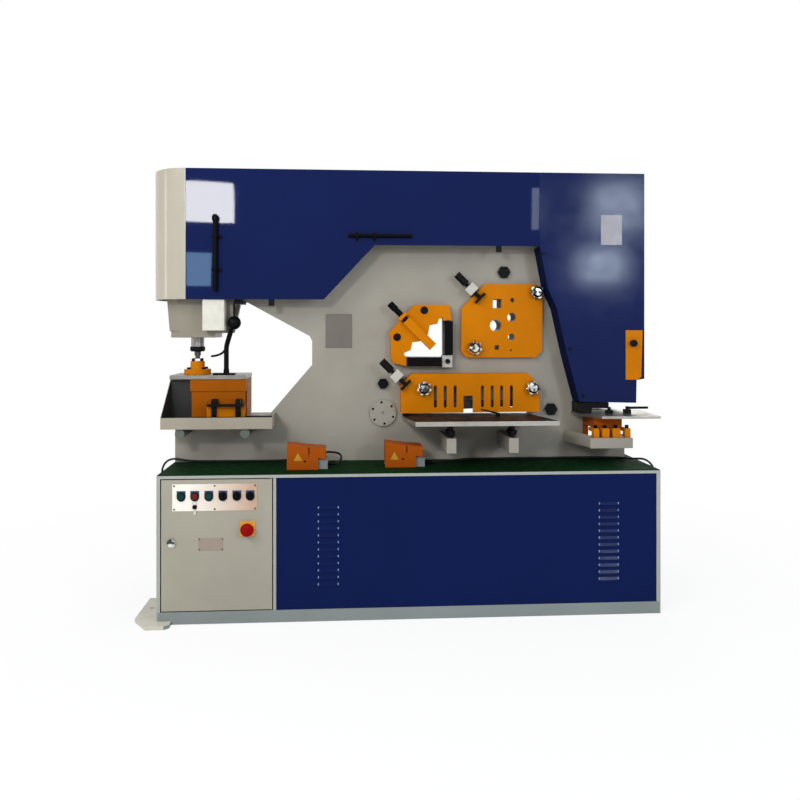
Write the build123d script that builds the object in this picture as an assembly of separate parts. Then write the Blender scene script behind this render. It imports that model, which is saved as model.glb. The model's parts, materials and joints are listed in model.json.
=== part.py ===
"""Hydraulic ironworker: a two-cylinder machine that punches, shears and notches steel sections.

X runs along the machine to the right, Y to the back and Z up, in millimetres.
The origin is on the floor, under the middle of the base.
"""

from build123d import *
from math import cos, pi, radians, sin
import os

# Base cabinet
BASE_L = 2300.0
BASE_W = 880.0
BASE_H = 663.0
BASE_SHEET = 5.0
BASE_TOP = 13.0
MAT_T = 4.0
OPENING_LOW = 55.0
OPENING_HIGH = BASE_H - BASE_TOP
DOOR_W = 490.0
DOOR_X0 = -BASE_L / 2 + 21
DOOR_X1 = DOOR_X0 + DOOR_W
DOOR_GAP = 5.0
BAY_SPLIT = DOOR_X1 + 12
DOOR_SHEET = 3.0
DOOR_RETURN = 16.0
PANEL_X0 = DOOR_X1 + 18
PANEL_X1 = BASE_L / 2 - 19
PANEL_SEAT = 16.0
PANEL_SHEET = 3.0
STRIP_T = 6.0
HINGE_PIN_R = 3.0
HINGE_INSET_X = 4.0
HINGE_INSET_Y = 6.0
LUG_T = 16.0
LUG_OUT = 60.0
LUG_HOLE_R = 11.0

# Everything on the base is drawn at its working height over a base of this height
STAND_H = 663.0
DECK_Z = STAND_H + MAT_T

# Frame of two plates with the shear beam between them
PLATE_T = 35.0
FRAME_GAP = 80.0
JAW_END = -945.0
FRAME_END = 893.0
JAW_TOP_Z = 893.0
THROAT_TOP_Z = 1455.0
PIVOT_X = -124.0
PIVOT_Z = 902.0
PIVOT_R = 45.0
PIVOT_FLANGE_R = 66.0
BEAM_T = 72.0
RUN = 0.05
SEAT = 0.3

# Covers
COVER_W = 400.0
COVER_T = 3.0
COVER_TOP = 2088.0
FRAME_TOP = COVER_TOP - COVER_T - SEAT
COVER_X0 = -1070.0
COVER_SPLIT = 640.0
COVER_LOW = 1462.0
COVER_X1 = 1165.0

# Punch station
PUNCH_X = -1050.0
RAM_R = 32.0
RAM_UP = 40.0
RAM_DOWN = 20.0
HEAD_LOW = 1278.0
HEAD_TOP = 1480.0
PISTON_R = 60.0
PUNCH_R = 16.0
NUT_TOP = HEAD_LOW - 46
TAIL_R = 15.0
CYLINDER_R = 85.0
TABLE_Z = 1095.0
TABLE_T = 20.0

# Shears
SHEAR_TABLE_Z = 896.0
SHEAR_TABLE_T = 22.0
STROKE_DEG = 3.6
SHEAR_CYL_X = 985.0
SHEAR_CYL_Z = 1290.0
PUSH_Z = 1120.0

FRONT = -BASE_W / 2
PLATE_FRONT = -FRAME_GAP / 2 - PLATE_T
COVER_FRONT = -COVER_W / 2
MAT_TOP = BASE_H + MAT_T
PANEL_FACE = FRONT + BASE_SHEET - SEAT - PANEL_SHEET


def block(x0, x1, y0, y1, z0, z1):
    """A box given by its faces."""
    size = Box(x1 - x0, y1 - y0, z1 - z0)
    return Pos((x0 + x1) / 2, (y0 + y1) / 2, (z0 + z1) / 2) * size


def slab(points, y0, y1):
    """A plate with an outline in X and Z, between two values of Y."""
    outline = Plane.XZ.offset(-y1) * Polygon(*points, align=None)
    return extrude(outline, amount=y1 - y0, dir=(0, -1, 0))


def sheet(points, z0, z1):
    """A plate with an outline in X and Y, between two heights."""
    outline = Plane.XY.offset(z0) * Polygon(*points, align=None)
    return extrude(outline, amount=z1 - z0, dir=(0, 0, 1))


def post(x, y, z0, z1, r):
    """An upright round bar."""
    return Pos(x, y, (z0 + z1) / 2) * Cylinder(r, z1 - z0)


def bar_y(x, z, y0, y1, r):
    """A round bar along Y."""
    return Pos(x, (y0 + y1) / 2, z) * Rot(90, 0, 0) * Cylinder(r, y1 - y0)


def bar_x(y, z, x0, x1, r):
    """A round bar along X."""
    return Pos((x0 + x1) / 2, y, z) * Rot(0, 90, 0) * Cylinder(r, x1 - x0)


def hex_y(x, z, y0, y1, across):
    """A hexagon head along Y, given across its flats."""
    outline = RegularPolygon(across / 2, 6, major_radius=False)
    return extrude(Plane.XZ.offset(-y1) * Pos(x, z) * outline, amount=y1 - y0)


def hex_z(x, y, z0, z1, across):
    """A hexagon head along Z, given across its flats."""
    outline = RegularPolygon(across / 2, 6, major_radius=False)
    return extrude(Plane.XY.offset(z0) * Pos(x, y) * outline, amount=z1 - z0)


# Base

def door_opening():
    """Lower and upper corners of the opening for the cabinet door, in X."""
    return DOOR_X0 - DOOR_GAP, DOOR_X1 + DOOR_GAP


def hinge_axis():
    """Place of the door's hinge pins in plan."""
    return DOOR_X1 - HINGE_INSET_X, FRONT + HINGE_INSET_Y


def floor_lug(side, end):
    """One anchor plate at a corner of the base: side is -1 for left, end is -1 for front."""
    out = BASE_L / 2
    edge = BASE_W / 2
    points = [
        (out, edge - 320),
        (out + 105, edge - 320),
        (out + 105, edge - 40),
        (out + 35, edge + 62),
        (out - 45, edge + 62),
        (out - 65, edge + 42),
        (out - 65, edge),
        (out, edge),
    ]
    plate = sheet([(side * x, end * y) for x, y in points], 0, LUG_T)
    for back in (180, 290):
        plate -= post(side * (out + LUG_OUT), end * (edge - back), -1, LUG_T + 1, LUG_HOLE_R)
    return plate


def hinge_bore(z):
    """Cutter for the blind hole of a hinge pin, above and below one edge of the opening."""
    x, y = hinge_axis()
    return post(x, y, z - 8, z + 8, HINGE_PIN_R + RUN)


def cabinet_shell():
    """Top, bottom, sides, back and the wall between the two bays, each a plain sheet."""
    half = BASE_L / 2
    back = BASE_W / 2
    low = BASE_SHEET
    high = OPENING_HIGH
    inner = FRONT + BASE_SHEET
    return [
        block(-half, half, FRONT, back, 0, low),
        block(-half, -half + BASE_SHEET, FRONT, back, low, high),
        block(half - BASE_SHEET, half, FRONT, back, low, high),
        block(-half + BASE_SHEET, half - BASE_SHEET, back - BASE_SHEET, back, low, high),
        block(BAY_SPLIT - BASE_SHEET, BAY_SPLIT, inner, back - BASE_SHEET, low, high),
    ]


def cabinet_front():
    """Sill and posts round the two openings, and the strips that the service panel seats on."""
    left = -BASE_L / 2 + BASE_SHEET
    right = BASE_L / 2 - BASE_SHEET
    inner = FRONT + BASE_SHEET
    x0, x1 = door_opening()
    seat0 = PANEL_X0 + PANEL_SEAT
    seat1 = PANEL_X1 - PANEL_SEAT
    low = OPENING_LOW
    high = OPENING_HIGH
    sill = block(left, right, FRONT, inner, BASE_SHEET, low) - hinge_bore(low)
    return [
        sill,
        block(left, x0, FRONT, inner, low, high),
        block(x1, PANEL_X0, FRONT, inner, low, high),
        block(PANEL_X1, right, FRONT, inner, low, high),
        block(BAY_SPLIT, seat0, inner, inner + STRIP_T, low, high),
        block(seat1, right, inner, inner + STRIP_T, low, high),
        block(seat0, seat1, inner, inner + STRIP_T, high - PANEL_SEAT, high),
        block(seat0, seat1, inner, inner + STRIP_T, low - 25, low + PANEL_SEAT),
    ]


def base_cabinet():
    """Welded sheet base with a control bay on the left and a pump bay on the right."""
    half = BASE_L / 2
    inner = FRONT + BASE_SHEET
    x0, x1 = door_opening()
    top = block(-half, half, FRONT, BASE_W / 2, OPENING_HIGH, BASE_H)
    ledge = block(x0, x1, inner, FRONT + 40, OPENING_LOW - 10, OPENING_LOW)
    top -= hinge_bore(OPENING_HIGH)
    ledge -= hinge_bore(OPENING_LOW)
    keeper = FRONT + DOOR_RETURN - 0.5
    catch = block(-half + BASE_SHEET, x0, inner, keeper, LOCK_Z - 25, LOCK_Z + 25)
    lugs = [floor_lug(side, end) for side, end in ((-1, -1), (-1, 1), (1, 1))]
    return Compound([top, ledge, catch, *cabinet_shell(), *cabinet_front(), *lugs])


LOUVRE_L = 88.0
LOUVRE_T = 1.5
LOUVRE_PITCH = 31.5
LOUVRE_ROWS = 12
LOUVRE_LEFT = PANEL_X0 + 234
LOUVRE_RIGHT = PANEL_X1 - 226


def louvre_hoods(x, top):
    """One column of pressed hoods on the service panel, and the slots behind them."""
    hoods = []
    slots = []
    for row in range(LOUVRE_ROWS):
        z = top - row * LOUVRE_PITCH
        profile = Polygon((0.5, z + 8), (-6, z - 6), (-4.5, z - 6), (0.5, z + 5), align=None)
        face = Plane.YZ.offset(x - LOUVRE_L / 2) * Pos(PANEL_FACE, 0) * profile
        hoods.append(extrude(face, amount=LOUVRE_L, dir=(1, 0, 0)))
        end = Polygon((0.5, z + 8), (-6, z - 6), (0.5, z - 6), align=None)
        for start in (x - LOUVRE_L / 2, x + LOUVRE_L / 2 - LOUVRE_T):
            closed = Plane.YZ.offset(start) * Pos(PANEL_FACE, 0) * end
            hoods.append(extrude(closed, amount=LOUVRE_T, dir=(1, 0, 0)))
        slots.append(block(x - LOUVRE_L / 2 + 2, x + LOUVRE_L / 2 - 2, FRONT - 1, FRONT + 9, z - 6, z + 2))
    return hoods, slots


def service_panel():
    """Blue sheet over the pump bay, with two columns of louvres."""
    gap = 1.0
    panel = block(
        PANEL_X0 + gap, PANEL_X1 - gap, PANEL_FACE, PANEL_FACE + PANEL_SHEET,
        OPENING_LOW + gap, OPENING_HIGH - gap,
    )
    for x in (LOUVRE_LEFT, LOUVRE_RIGHT):
        hoods, slots = louvre_hoods(x, BASE_H - 151)
        panel -= slots
        panel += hoods
    return panel


def bench_mat():
    """Ribbed green rubber mat on top of the base, cut out round the frame's foot."""
    edge = 2.0
    half = BASE_L / 2 - edge
    mat = block(-half, half, FRONT + edge, BASE_W / 2 - edge, BASE_H, MAT_TOP)
    foot = block(-half - 5, FOOT_X1 + 2, PLATE_FRONT - 2, -PLATE_FRONT + 2, BASE_H - 1, MAT_TOP + 1)
    return mat - foot


# Frame

FOOT_X0 = -BASE_L / 2 + 4
FOOT_X1 = BASE_L / 2 - 41
FOOT_STEP_Z = STAND_H + 82
JAW_CORNER_Z = HEAD_TOP + 236
JAW_SLOPE = 1.6387

BLADE_X0 = 390.0
BLADE_X1 = 570.0
BLADE_Z0 = 1190.0
BLADE_Z1 = 1490.0

FLAT_X0 = 20.0
FLAT_X1 = 616.0
FLAT_LOW = 835.0
FLAT_HIGH = 962.0

ANGLE_X0 = -62.0
ANGLE_CORNER_X = 176.0
ANGLE_CORNER_Z = 1182.0
ANGLE_Z1 = 1402.0
ANGLE_LINER = 16.0


def angle_opening(grow=0.0):
    """Outline of the stepped opening that an angle bar goes through."""
    x = ANGLE_CORNER_X + grow
    z = ANGLE_CORNER_Z - grow
    return [
        (x, z),
        (x, ANGLE_CORNER_Z + 196),
        (ANGLE_CORNER_X - 22, ANGLE_CORNER_Z + 190),
        (ANGLE_CORNER_X - 32, ANGLE_CORNER_Z + 164),
        (ANGLE_CORNER_X - 70, ANGLE_CORNER_Z + 156),
        (ANGLE_CORNER_X - 78, ANGLE_CORNER_Z + 112),
        (ANGLE_CORNER_X - 112, ANGLE_CORNER_Z + 78),
        (ANGLE_CORNER_X - 156, ANGLE_CORNER_Z + 72),
        (ANGLE_CORNER_X - 164, ANGLE_CORNER_Z + 34),
        (ANGLE_CORNER_X - 196, ANGLE_CORNER_Z + 20),
        (ANGLE_CORNER_X - 196, z),
    ]


def frame_outline():
    """Side shape of the C-frame, from the left end of its foot."""
    return [
        (FOOT_X0, STAND_H),
        (FOOT_X0, JAW_TOP_Z),
        (-690, JAW_TOP_Z),
        (-476, 1143),
        (-476, 1262),
        (-488, 1285),
        (-801, THROAT_TOP_Z),
        (JAW_END, THROAT_TOP_Z),
        (JAW_END, JAW_CORNER_Z),
        (JAW_END + (FRAME_TOP - JAW_CORNER_Z) / JAW_SLOPE, FRAME_TOP),
        (560, FRAME_TOP),
        (FRAME_END, FRAME_TOP - 184.7),
        (FRAME_END, FOOT_STEP_Z),
        (FOOT_X1, FOOT_STEP_Z),
        (FOOT_X1, STAND_H),
    ]


def frame_plate(y0, y1):
    """One plate of the frame with its pivot bore and the slot of the flat shear."""
    plate = slab(frame_outline(), y0, y1)
    plate -= bar_y(PIVOT_X, PIVOT_Z, y0 - 1, y1 + 1, PIVOT_R + RUN)
    return plate


def front_frame_plate():
    """Front plate with the windows that hold the fixed blades."""
    y0 = PLATE_FRONT
    y1 = -FRAME_GAP / 2
    plate = frame_plate(y0, y1)
    cut0 = y0 - 1
    cut1 = y1 + 1
    plate -= block(FLAT_X0, FLAT_X1, cut0, cut1, FLAT_LOW, FLAT_HIGH)
    plate -= block(BLADE_X0, BLADE_X1, cut0, cut1, BLADE_Z0, BLADE_Z1)
    plate -= slab(angle_opening(ANGLE_LINER), cut0, cut1)
    return plate


def rear_frame_plate():
    """Rear plate with exit windows, and the spacers that are welded to it."""
    y0 = FRAME_GAP / 2
    y1 = y0 + PLATE_T
    plate = frame_plate(y0, y1)
    cut0 = y0 - 1
    cut1 = y1 + 1
    plate -= block(FLAT_X0 - 20, FLAT_X1 + 20, cut0, cut1, FLAT_LOW + 10, FLAT_HIGH)
    plate -= block(BLADE_X0, BLADE_X1 + 30, cut0, cut1, BLADE_Z0 - 40, BLADE_Z1)
    plate -= slab(angle_opening(ANGLE_LINER + 14), cut0, cut1)
    inner = -FRAME_GAP / 2
    plate += block(FOOT_X0, FOOT_X0 + 560, inner, y0, STAND_H, JAW_TOP_Z)
    plate += block(-480, FRAME_END, inner, y0, STAND_H, STAND_H + 60)
    plate += block(FRAME_END - 60, FOOT_X1, inner, y0, STAND_H, FOOT_STEP_Z)
    plate += block(JAW_END, -520, inner, y0, 1480, JAW_CORNER_Z)
    plate += block(-700, 560, inner, y0, FRAME_TOP - 224.7, FRAME_TOP)
    return plate


def pivot_pin():
    """Pivot of the shear beam: a round pin whose flange is screwed to the front plate."""
    reach = -PLATE_FRONT
    pin = bar_y(PIVOT_X, PIVOT_Z, -reach, reach, PIVOT_R)
    flange = bar_y(PIVOT_X, PIVOT_Z, PLATE_FRONT - 12, PLATE_FRONT, PIVOT_FLANGE_R)
    rear = bar_y(PIVOT_X, PIVOT_Z, reach, reach + 12, PIVOT_FLANGE_R)
    pin = pin + flange + rear
    for turn in range(6):
        x, z = flange_screw(turn)
        pin -= bar_y(x, z, PLATE_FRONT - 13, PLATE_FRONT - 5, 6)
    pin -= bar_y(PIVOT_X, PIVOT_Z, PLATE_FRONT - 13, PLATE_FRONT - 4, 7)
    return pin


def flange_screw(turn):
    """Place of one screw in the pivot pin's flange."""
    angle = radians(38 + 60 * turn)
    return PIVOT_X + 54 * cos(angle), PIVOT_Z + 54 * sin(angle)


def beam_outline():
    """Side shape of the shear beam, from its lower edge by the pivot."""
    return [
        (-124, 792),
        (-30, 850),
        (FLAT_X0, FLAT_EDGE_Z0 + SEAT),
        (FLAT_X1, FLAT_EDGE_Z1 + SEAT),
        (BEAM_END - 165, NOTCH_SEAT_Z),
        (BEAM_END, NOTCH_SEAT_Z),
        (BEAM_END, PUSH_Z - 6),
        (BEAM_END - 100, PUSH_Z - 6),
        (860, 1200),
        (690, 1560),
        (330, 1560),
        (-20, 1440),
        (-110, 1320),
        (-234, 902),
    ]


FLAT_EDGE_Z0 = 903.0
FLAT_EDGE_Z1 = 930.0
FLAT_BLADE_H = 58.0
FLAT_BLADE_Y1 = -12.0
NOTCH_X0 = 935.0
NOTCH_X1 = 1005.0
NOTCH_LOW = 922.0
NOTCH_SEAT_Z = 985.0
BEAM_END = 1035.0


def flat_blade_outline(grow=0.0):
    """Outline of the raked upper blade of the flat shear."""
    return [
        (FLAT_X0 - grow, FLAT_EDGE_Z0 - grow),
        (FLAT_X1 + grow, FLAT_EDGE_Z1 - grow),
        (FLAT_X1 + grow, FLAT_EDGE_Z1 + FLAT_BLADE_H + grow),
        (FLAT_X0 - grow, FLAT_EDGE_Z0 + FLAT_BLADE_H + grow),
    ]


def shear_beam():
    """Steel beam that swings on the pivot pin and carries every moving blade."""
    half = BEAM_T / 2
    beam = slab(beam_outline(), -half, half)
    beam += bar_y(PIVOT_X, PIVOT_Z, -half, half, 110)
    pad = bar_y(SHEAR_CYL_X, PUSH_Z - 120, -28, 28, 120)
    beam += pad & block(SHEAR_CYL_X - 34, SHEAR_CYL_X + 34, -28, 28, PUSH_Z - 20, PUSH_Z)
    beam -= bar_y(PIVOT_X, PIVOT_Z, -half - 1, half + 1, PIVOT_R + RUN)
    beam -= block(BLADE_X0 - SEAT, BLADE_X1 + SEAT, -half - 1, half + 1, BLADE_Z0 - SEAT, BLADE_Z1 + SEAT)
    low = ANGLE_CORNER_Z - ANGLE_LINER
    beam -= block(ANGLE_X0, ANGLE_CORNER_X + ANGLE_LINER, -half - 1, half + 1, low, ANGLE_Z1)
    beam -= slab(flat_blade_outline(SEAT), -half - 1, FLAT_BLADE_Y1 + SEAT)
    return beam


SHEAR_PLANE = -FRAME_GAP / 2


def bar_holes(y0, y1):
    """The openings for square and round bar, as solid cutters between two values of Y."""
    large_square = block(BAR_X - 22.5, BAR_X + 22.5, y0, y1, BAR_Z + 87.5, BAR_Z + 132.5)
    small_square = block(BAR_X - 14, BAR_X + 9, y0, y1, BAR_Z - 121.5, BAR_Z - 98.5)
    cutters = [large_square, small_square]
    cutters.append(bar_y(BAR_X - 8, BAR_Z, y0, y1, 29.5))
    cutters.append(bar_y(BAR_X + 76, BAR_Z + 127, y0, y1, 11))
    cutters.append(bar_y(BAR_X + 73, BAR_Z + 41, y0, y1, 22.5))
    cutters.append(bar_y(BAR_X + 71, BAR_Z - 58, y0, y1, 17.5))
    cutters.append(bar_y(BAR_X + 69, BAR_Z - 124, y0, y1, 5))
    return cutters


BAR_X = 448.0
BAR_Z = 1338.0
BAR_SPLIT = 484.0


def bar_blades(y0, y1, inset):
    """The square and the round blade of the bar shear, side by side in their window."""
    pieces = []
    for x0, x1 in ((BLADE_X0 + inset, BAR_SPLIT), (BAR_SPLIT, BLADE_X1 - inset)):
        blade = block(x0, x1, y0, y1, BLADE_Z0 + inset, BLADE_Z1 - inset)
        pieces.append(blade - bar_holes(y0 - 1, y1 + 1))
    return pieces


def fixed_blades():
    """Blades that are held in the front plate, and the black rests in front of the angle shear."""
    y0 = PLATE_FRONT
    y1 = SHEAR_PLANE - 0.2
    bars = bar_blades(y0, y1, SEAT)
    flat = block(FLAT_X0 + SEAT, FLAT_X1 - SEAT, y0, y1, FLAT_LOW + SEAT, SHEAR_TABLE_Z - 0.5)
    x = ANGLE_CORNER_X
    z = ANGLE_CORNER_Z
    end = ANGLE_LINER - SEAT
    liner = block(x - 196, x + end, y0, y1, z - end, z)
    liner += block(x, x + end, y0, y1, z - end, z + 190)
    upright = block(x + 3, x + 45, PLATE_FRONT - 55, PLATE_FRONT, z + 11, z + 178)
    level = block(x - 182, x - 10, PLATE_FRONT - 55, PLATE_FRONT, z - 46, z - 2)
    corner = block(x - 8, x + 44, PLATE_FRONT - 40, PLATE_FRONT, z - 52, z + 8)
    return Compound([*bars, flat, liner, upright, level, corner])


def moving_blades():
    """Blades and the notching punch that the beam carries."""
    half = BEAM_T / 2
    y0 = SHEAR_PLANE + 0.2
    bars = bar_blades(y0, half, 0)
    flat = slab(flat_blade_outline(), y0, FLAT_BLADE_Y1)
    low = ANGLE_CORNER_Z - ANGLE_LINER + SEAT
    right = ANGLE_CORNER_X + ANGLE_LINER - SEAT
    angle = block(ANGLE_X0 + SEAT, right, y0, half, low, ANGLE_Z1 - SEAT)
    angle -= slab(angle_opening(ANGLE_LINER + 1), y0 - 1, half + 1)
    punch = block(NOTCH_X0, NOTCH_X1, -half, half, NOTCH_LOW, NOTCH_SEAT_Z)
    return Compound([*bars, flat, angle, punch])


# Hydraulic cylinders

def shear_cylinder():
    """Cylinder that pushes the beam's free end down; its block is welded to the plates' ends."""
    x = SHEAR_CYL_X
    low = SHEAR_CYL_Z
    body = block(FRAME_END, x + CYLINDER_R + 7, -92, 92, low, low + 90)
    body += post(x, 0, low + 90, low + 460, CYLINDER_R)
    body += post(x, 0, low + 460, low + 495, CYLINDER_R - 15)
    body += post(x - 50, -30, low + 495, low + 525, 14)
    body -= post(x, 0, low + 110, low + 430, PISTON_R + RUN)
    body -= post(x, 0, low - 1, low + 111, RAM_R + RUN)
    return body


def shear_piston_rod():
    """Piston and rod of the shear cylinder."""
    rod = post(SHEAR_CYL_X, 0, PUSH_Z + 1.5, SHEAR_CYL_Z + 330, RAM_R)
    rod += post(SHEAR_CYL_X, 0, SHEAR_CYL_Z + 310, SHEAR_CYL_Z + 360, PISTON_R)
    return rod


def head_plan(left, corner):
    """Plan of the punch head: square to the right and chamfered on the left."""
    half = 112
    return [
        (JAW_END, half),
        (left + corner, half),
        (left, half - corner),
        (left, corner - half),
        (left + corner, -half),
        (JAW_END, -half),
    ]


def punch_cylinder():
    """Cast punch head with the cylinder on top, and the cheeks that clasp the jaw."""
    lower = Plane.XY.offset(HEAD_LOW + 32) * Polygon(*head_plan(-1176, 52), align=None)
    upper = Plane.XY.offset(HEAD_TOP) * Polygon(*head_plan(-1192, 62), align=None)
    body = loft([lower, upper])
    body += sheet(head_plan(-1170, 56), HEAD_LOW, HEAD_LOW + 32)
    for y0 in (-112.0, -PLATE_FRONT + SEAT):
        cheek = [(JAW_END, 1300), (-880, 1300), (-850, 1440), (-850, HEAD_TOP), (JAW_END, HEAD_TOP)]
        body += slab(cheek, y0, y0 + 112 + PLATE_FRONT - SEAT)
    top = HEAD_TOP + 245
    body += post(PUNCH_X, 0, HEAD_TOP, top - 25, CYLINDER_R)
    body += post(PUNCH_X, 0, top - 25, top, CYLINDER_R - 15)
    body -= post(PUNCH_X, 0, HEAD_TOP + 20, top - 35, PISTON_R + RUN)
    body -= post(PUNCH_X, 0, HEAD_LOW - 1, HEAD_TOP + 21, RAM_R + RUN)
    body -= post(PUNCH_X, 0, top - 36, top + 1, TAIL_R + RUN)
    return body


def punch_ram():
    """Ram with its piston and the tail rod that carries the stroke arm."""
    piston = HEAD_TOP + 90
    ram = post(PUNCH_X, 0, NUT_TOP, piston + 30, RAM_R)
    ram += post(PUNCH_X, 0, piston, piston + 50, PISTON_R)
    ram += post(PUNCH_X, 0, piston + 50, ARM_Z + 20, TAIL_R)
    return ram


def punch_tooling():
    """Coupling nut under the ram, and the punch in it."""
    low = NUT_TOP - 24
    cone = Plane.XZ * Polygon((0, low), (31, low), (37, low + 6), (37, NUT_TOP), (0, NUT_TOP), align=None)
    nut = Pos(PUNCH_X, 0, 0) * revolve(cone, Axis.Z)
    for turn in range(4):
        angle = radians(45 + 90 * turn)
        nut -= post(PUNCH_X + 38 * cos(angle), 38 * sin(angle), low - 1, NUT_TOP + 1, 5)
    punch = post(PUNCH_X, 0, low - 20, low, PUNCH_R)
    punch += post(PUNCH_X, 0, low - 36, low - 18, PUNCH_R - 4)
    return Compound([nut, punch])


ROD_X = -928.0
ROD_Y = -222.0
ROD_R = 11.0
ARM_Z = HEAD_TOP + 310
ARM_H = 16.0
ARM_T = 10.0


def stroke_rod():
    """Black rod on the cover that follows the ram, with its stop collars and its arm."""
    rod = post(ROD_X, ROD_Y, ARM_Z - 280, ARM_Z + 74, ROD_R)
    rod += post(ROD_X, ROD_Y, ARM_Z - 293, ARM_Z - 278, 8)
    rod += post(ROD_X, ROD_Y, ARM_Z + 46, ARM_Z + 66, 15)
    low = ARM_Z - ARM_H / 2
    high = ARM_Z + ARM_H / 2
    t = ARM_T / 2
    rod += block(ROD_X - t, ROD_X + t, ROD_Y, 40, low, high)
    rod += block(PUNCH_X - 10, ROD_X + t, 22, 40, low, high)
    rod += post(PUNCH_X, 0, low, high, 40)
    rod -= post(PUNCH_X, 0, low - 1, high + 1, TAIL_R + RUN)
    return rod


def rod_eye(z):
    """Guide eye of the stroke rod, with its foot on the cover."""
    eye = post(ROD_X, ROD_Y, z, z + 8, 17)
    eye += block(ROD_X - 8, ROD_X + 8, ROD_Y, COVER_FRONT, z, z + 8)
    eye += block(ROD_X + 8, ROD_X + 30, COVER_FRONT - 6, COVER_FRONT, z - 4, z + 12)
    return eye - post(ROD_X, ROD_Y, z - 1, z + 9, ROD_R + RUN)


GAUGE_Z = 1770.0
GAUGE_R = 8.5


def gauge_rod_and_clips():
    """Length-gauge rod stored level on the cover, its two clips, and the stroke rod's guide eyes."""
    y = COVER_FRONT - 17
    rod = bar_x(y, GAUGE_Z, -298, 11, GAUGE_R)
    pieces = [rod]
    for x in (-255, -170):
        clip = block(x - 5, x + 5, y - 12, COVER_FRONT, GAUGE_Z - 14, GAUGE_Z + 14)
        clip -= bar_x(y, GAUGE_Z, x - 6, x + 6, GAUGE_R)
        clip += block(x - 5, x + 5, COVER_FRONT - 3, COVER_FRONT, GAUGE_Z - 28, GAUGE_Z - 12)
        pieces.append(clip)
    for z in (ARM_Z - 36, ARM_Z - 193):
        pieces.append(rod_eye(z))
    return Compound(pieces)


# Covers

def upper_cover():
    """Blue hood over the jaw: a folded sheet, open below and at both ends."""
    outer = [
        (COVER_X0, COVER_LOW),
        (-415, COVER_LOW),
        (-169, 1726),
        (COVER_SPLIT, 1726),
        (COVER_SPLIT, COVER_TOP),
        (COVER_X0, COVER_TOP),
    ]
    inner = [
        (COVER_X0 - 1, COVER_LOW - 1),
        (COVER_SPLIT + 1, COVER_LOW - 1),
        (COVER_SPLIT + 1, COVER_TOP - COVER_T),
        (COVER_X0 - 1, COVER_TOP - COVER_T),
    ]
    cover = slab(outer, COVER_FRONT, -COVER_FRONT)
    cover -= slab(inner, COVER_FRONT + COVER_T, -COVER_FRONT - COVER_T)
    slot_low = ARM_Z - ARM_H / 2 - RAM_DOWN - 2
    slot_high = ARM_Z + ARM_H / 2 + RAM_UP + 2
    t = ARM_T / 2 + 2
    cover -= block(ROD_X - t, ROD_X + t, COVER_FRONT - 1, COVER_FRONT + COVER_T + 1, slot_low, slot_high)
    return cover


def right_outline(inset):
    """Front outline of the right cover, or the same drawn in by a sheet's thickness."""
    d = inset
    return [
        (COVER_SPLIT, COVER_TOP - d),
        (COVER_SPLIT, 1724),
        (679 + d, 1523),
        (725 + d, 1420),
        (776 + d, 1194),
        (838 + d, 962),
        (1124 - d, 955),
        (1126 - d, 1068 + d),
        (COVER_X1 - d, 1074 + d),
        (COVER_X1 - d, COVER_TOP - d),
    ]


def right_cover():
    """Blue cover over the shear cylinder, with returns to the frame along its slanted edge."""
    cover = slab(right_outline(0), COVER_FRONT, -COVER_FRONT)
    cover -= slab(right_outline(COVER_T), COVER_FRONT + COVER_T, -COVER_FRONT - COVER_T)
    clear = -PLATE_FRONT + SEAT
    cover -= block(COVER_SPLIT - 1, FRAME_END + 40, -clear, clear, 940, COVER_TOP - COVER_T)
    inner = COVER_W / 2 - COVER_T
    cover -= block(840, 1124 - COVER_T, -inner, inner, 940, 1000)
    cover -= block(COVER_SPLIT - 1, COVER_SPLIT + 2, -inner, inner, 1745, COVER_TOP - COVER_T)
    return cover


def punch_cover():
    """Cream half-round cover that closes the hood's left end."""
    half = COVER_W / 2
    deep = 182.0
    plan = Ellipse(deep, half) - Pos(deep, 0) * Rectangle(2 * deep, 2 * half + 2)
    hollow = Ellipse(deep - COVER_T, half - COVER_T) - Pos(deep + 1, 0) * Rectangle(2 * deep, 2 * half + 2)
    start = Plane.XY.offset(COVER_LOW) * Pos(COVER_X0, 0)
    cover = extrude(start * plan, amount=COVER_TOP - COVER_LOW)
    inside = Plane.XY.offset(COVER_LOW - 1) * Pos(COVER_X0, 0)
    whole = Ellipse(deep - COVER_T, half - COVER_T)
    cover -= extrude(inside * whole, amount=COVER_TOP - COVER_LOW + 1 - COVER_T)
    return cover


def side_guard():
    """Yellow guard plate on the right cover's front corner, with its black knob."""
    plate = [(1069, 1070), (1129, 1070), (1147, 1084), (1154, 1314), (1069, 1314)]
    guard = slab(plate, COVER_FRONT - 6, COVER_FRONT)
    guard += bar_y(1103, 1250, COVER_FRONT - 14, COVER_FRONT - 6, 8)
    guard += bar_y(1103, 1250, COVER_FRONT - 30, COVER_FRONT - 14, 17)
    return guard


# Punch station

def switch_box():
    """Limit switch box on the punch head."""
    box = block(-994, -889, -190, -112, 1313, COVER_LOW - 1)
    box = fillet(box.edges().filter_by(Axis.Z), 5)
    box += bar_y(-980, 1326, -193, -189, 4)
    box += bar_y(-903, 1326, -193, -189, 4)
    return box


def bolster():
    """Yellow pedestal on the lower jaw, with a drop hole for slugs and the front bending block."""
    front = block(-1057, -802, -119, PLATE_FRONT, JAW_TOP_Z, 1018)
    upper = block(-1063, -796, -125, PLATE_FRONT, 1018, TABLE_Z - TABLE_T)
    rear = block(-1135, -796, PLATE_FRONT, 110, JAW_TOP_Z, TABLE_Z - TABLE_T)
    body = front + upper + rear
    body -= post(PUNCH_X, 0, JAW_TOP_Z + 40, TABLE_Z, 24)
    body -= block(-1136, PUNCH_X + 24, -24, 24, JAW_TOP_Z + 20, JAW_TOP_Z + 90)
    body += block(-977, -796, -160, -119, JAW_TOP_Z + 3, 948)
    return body


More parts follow.
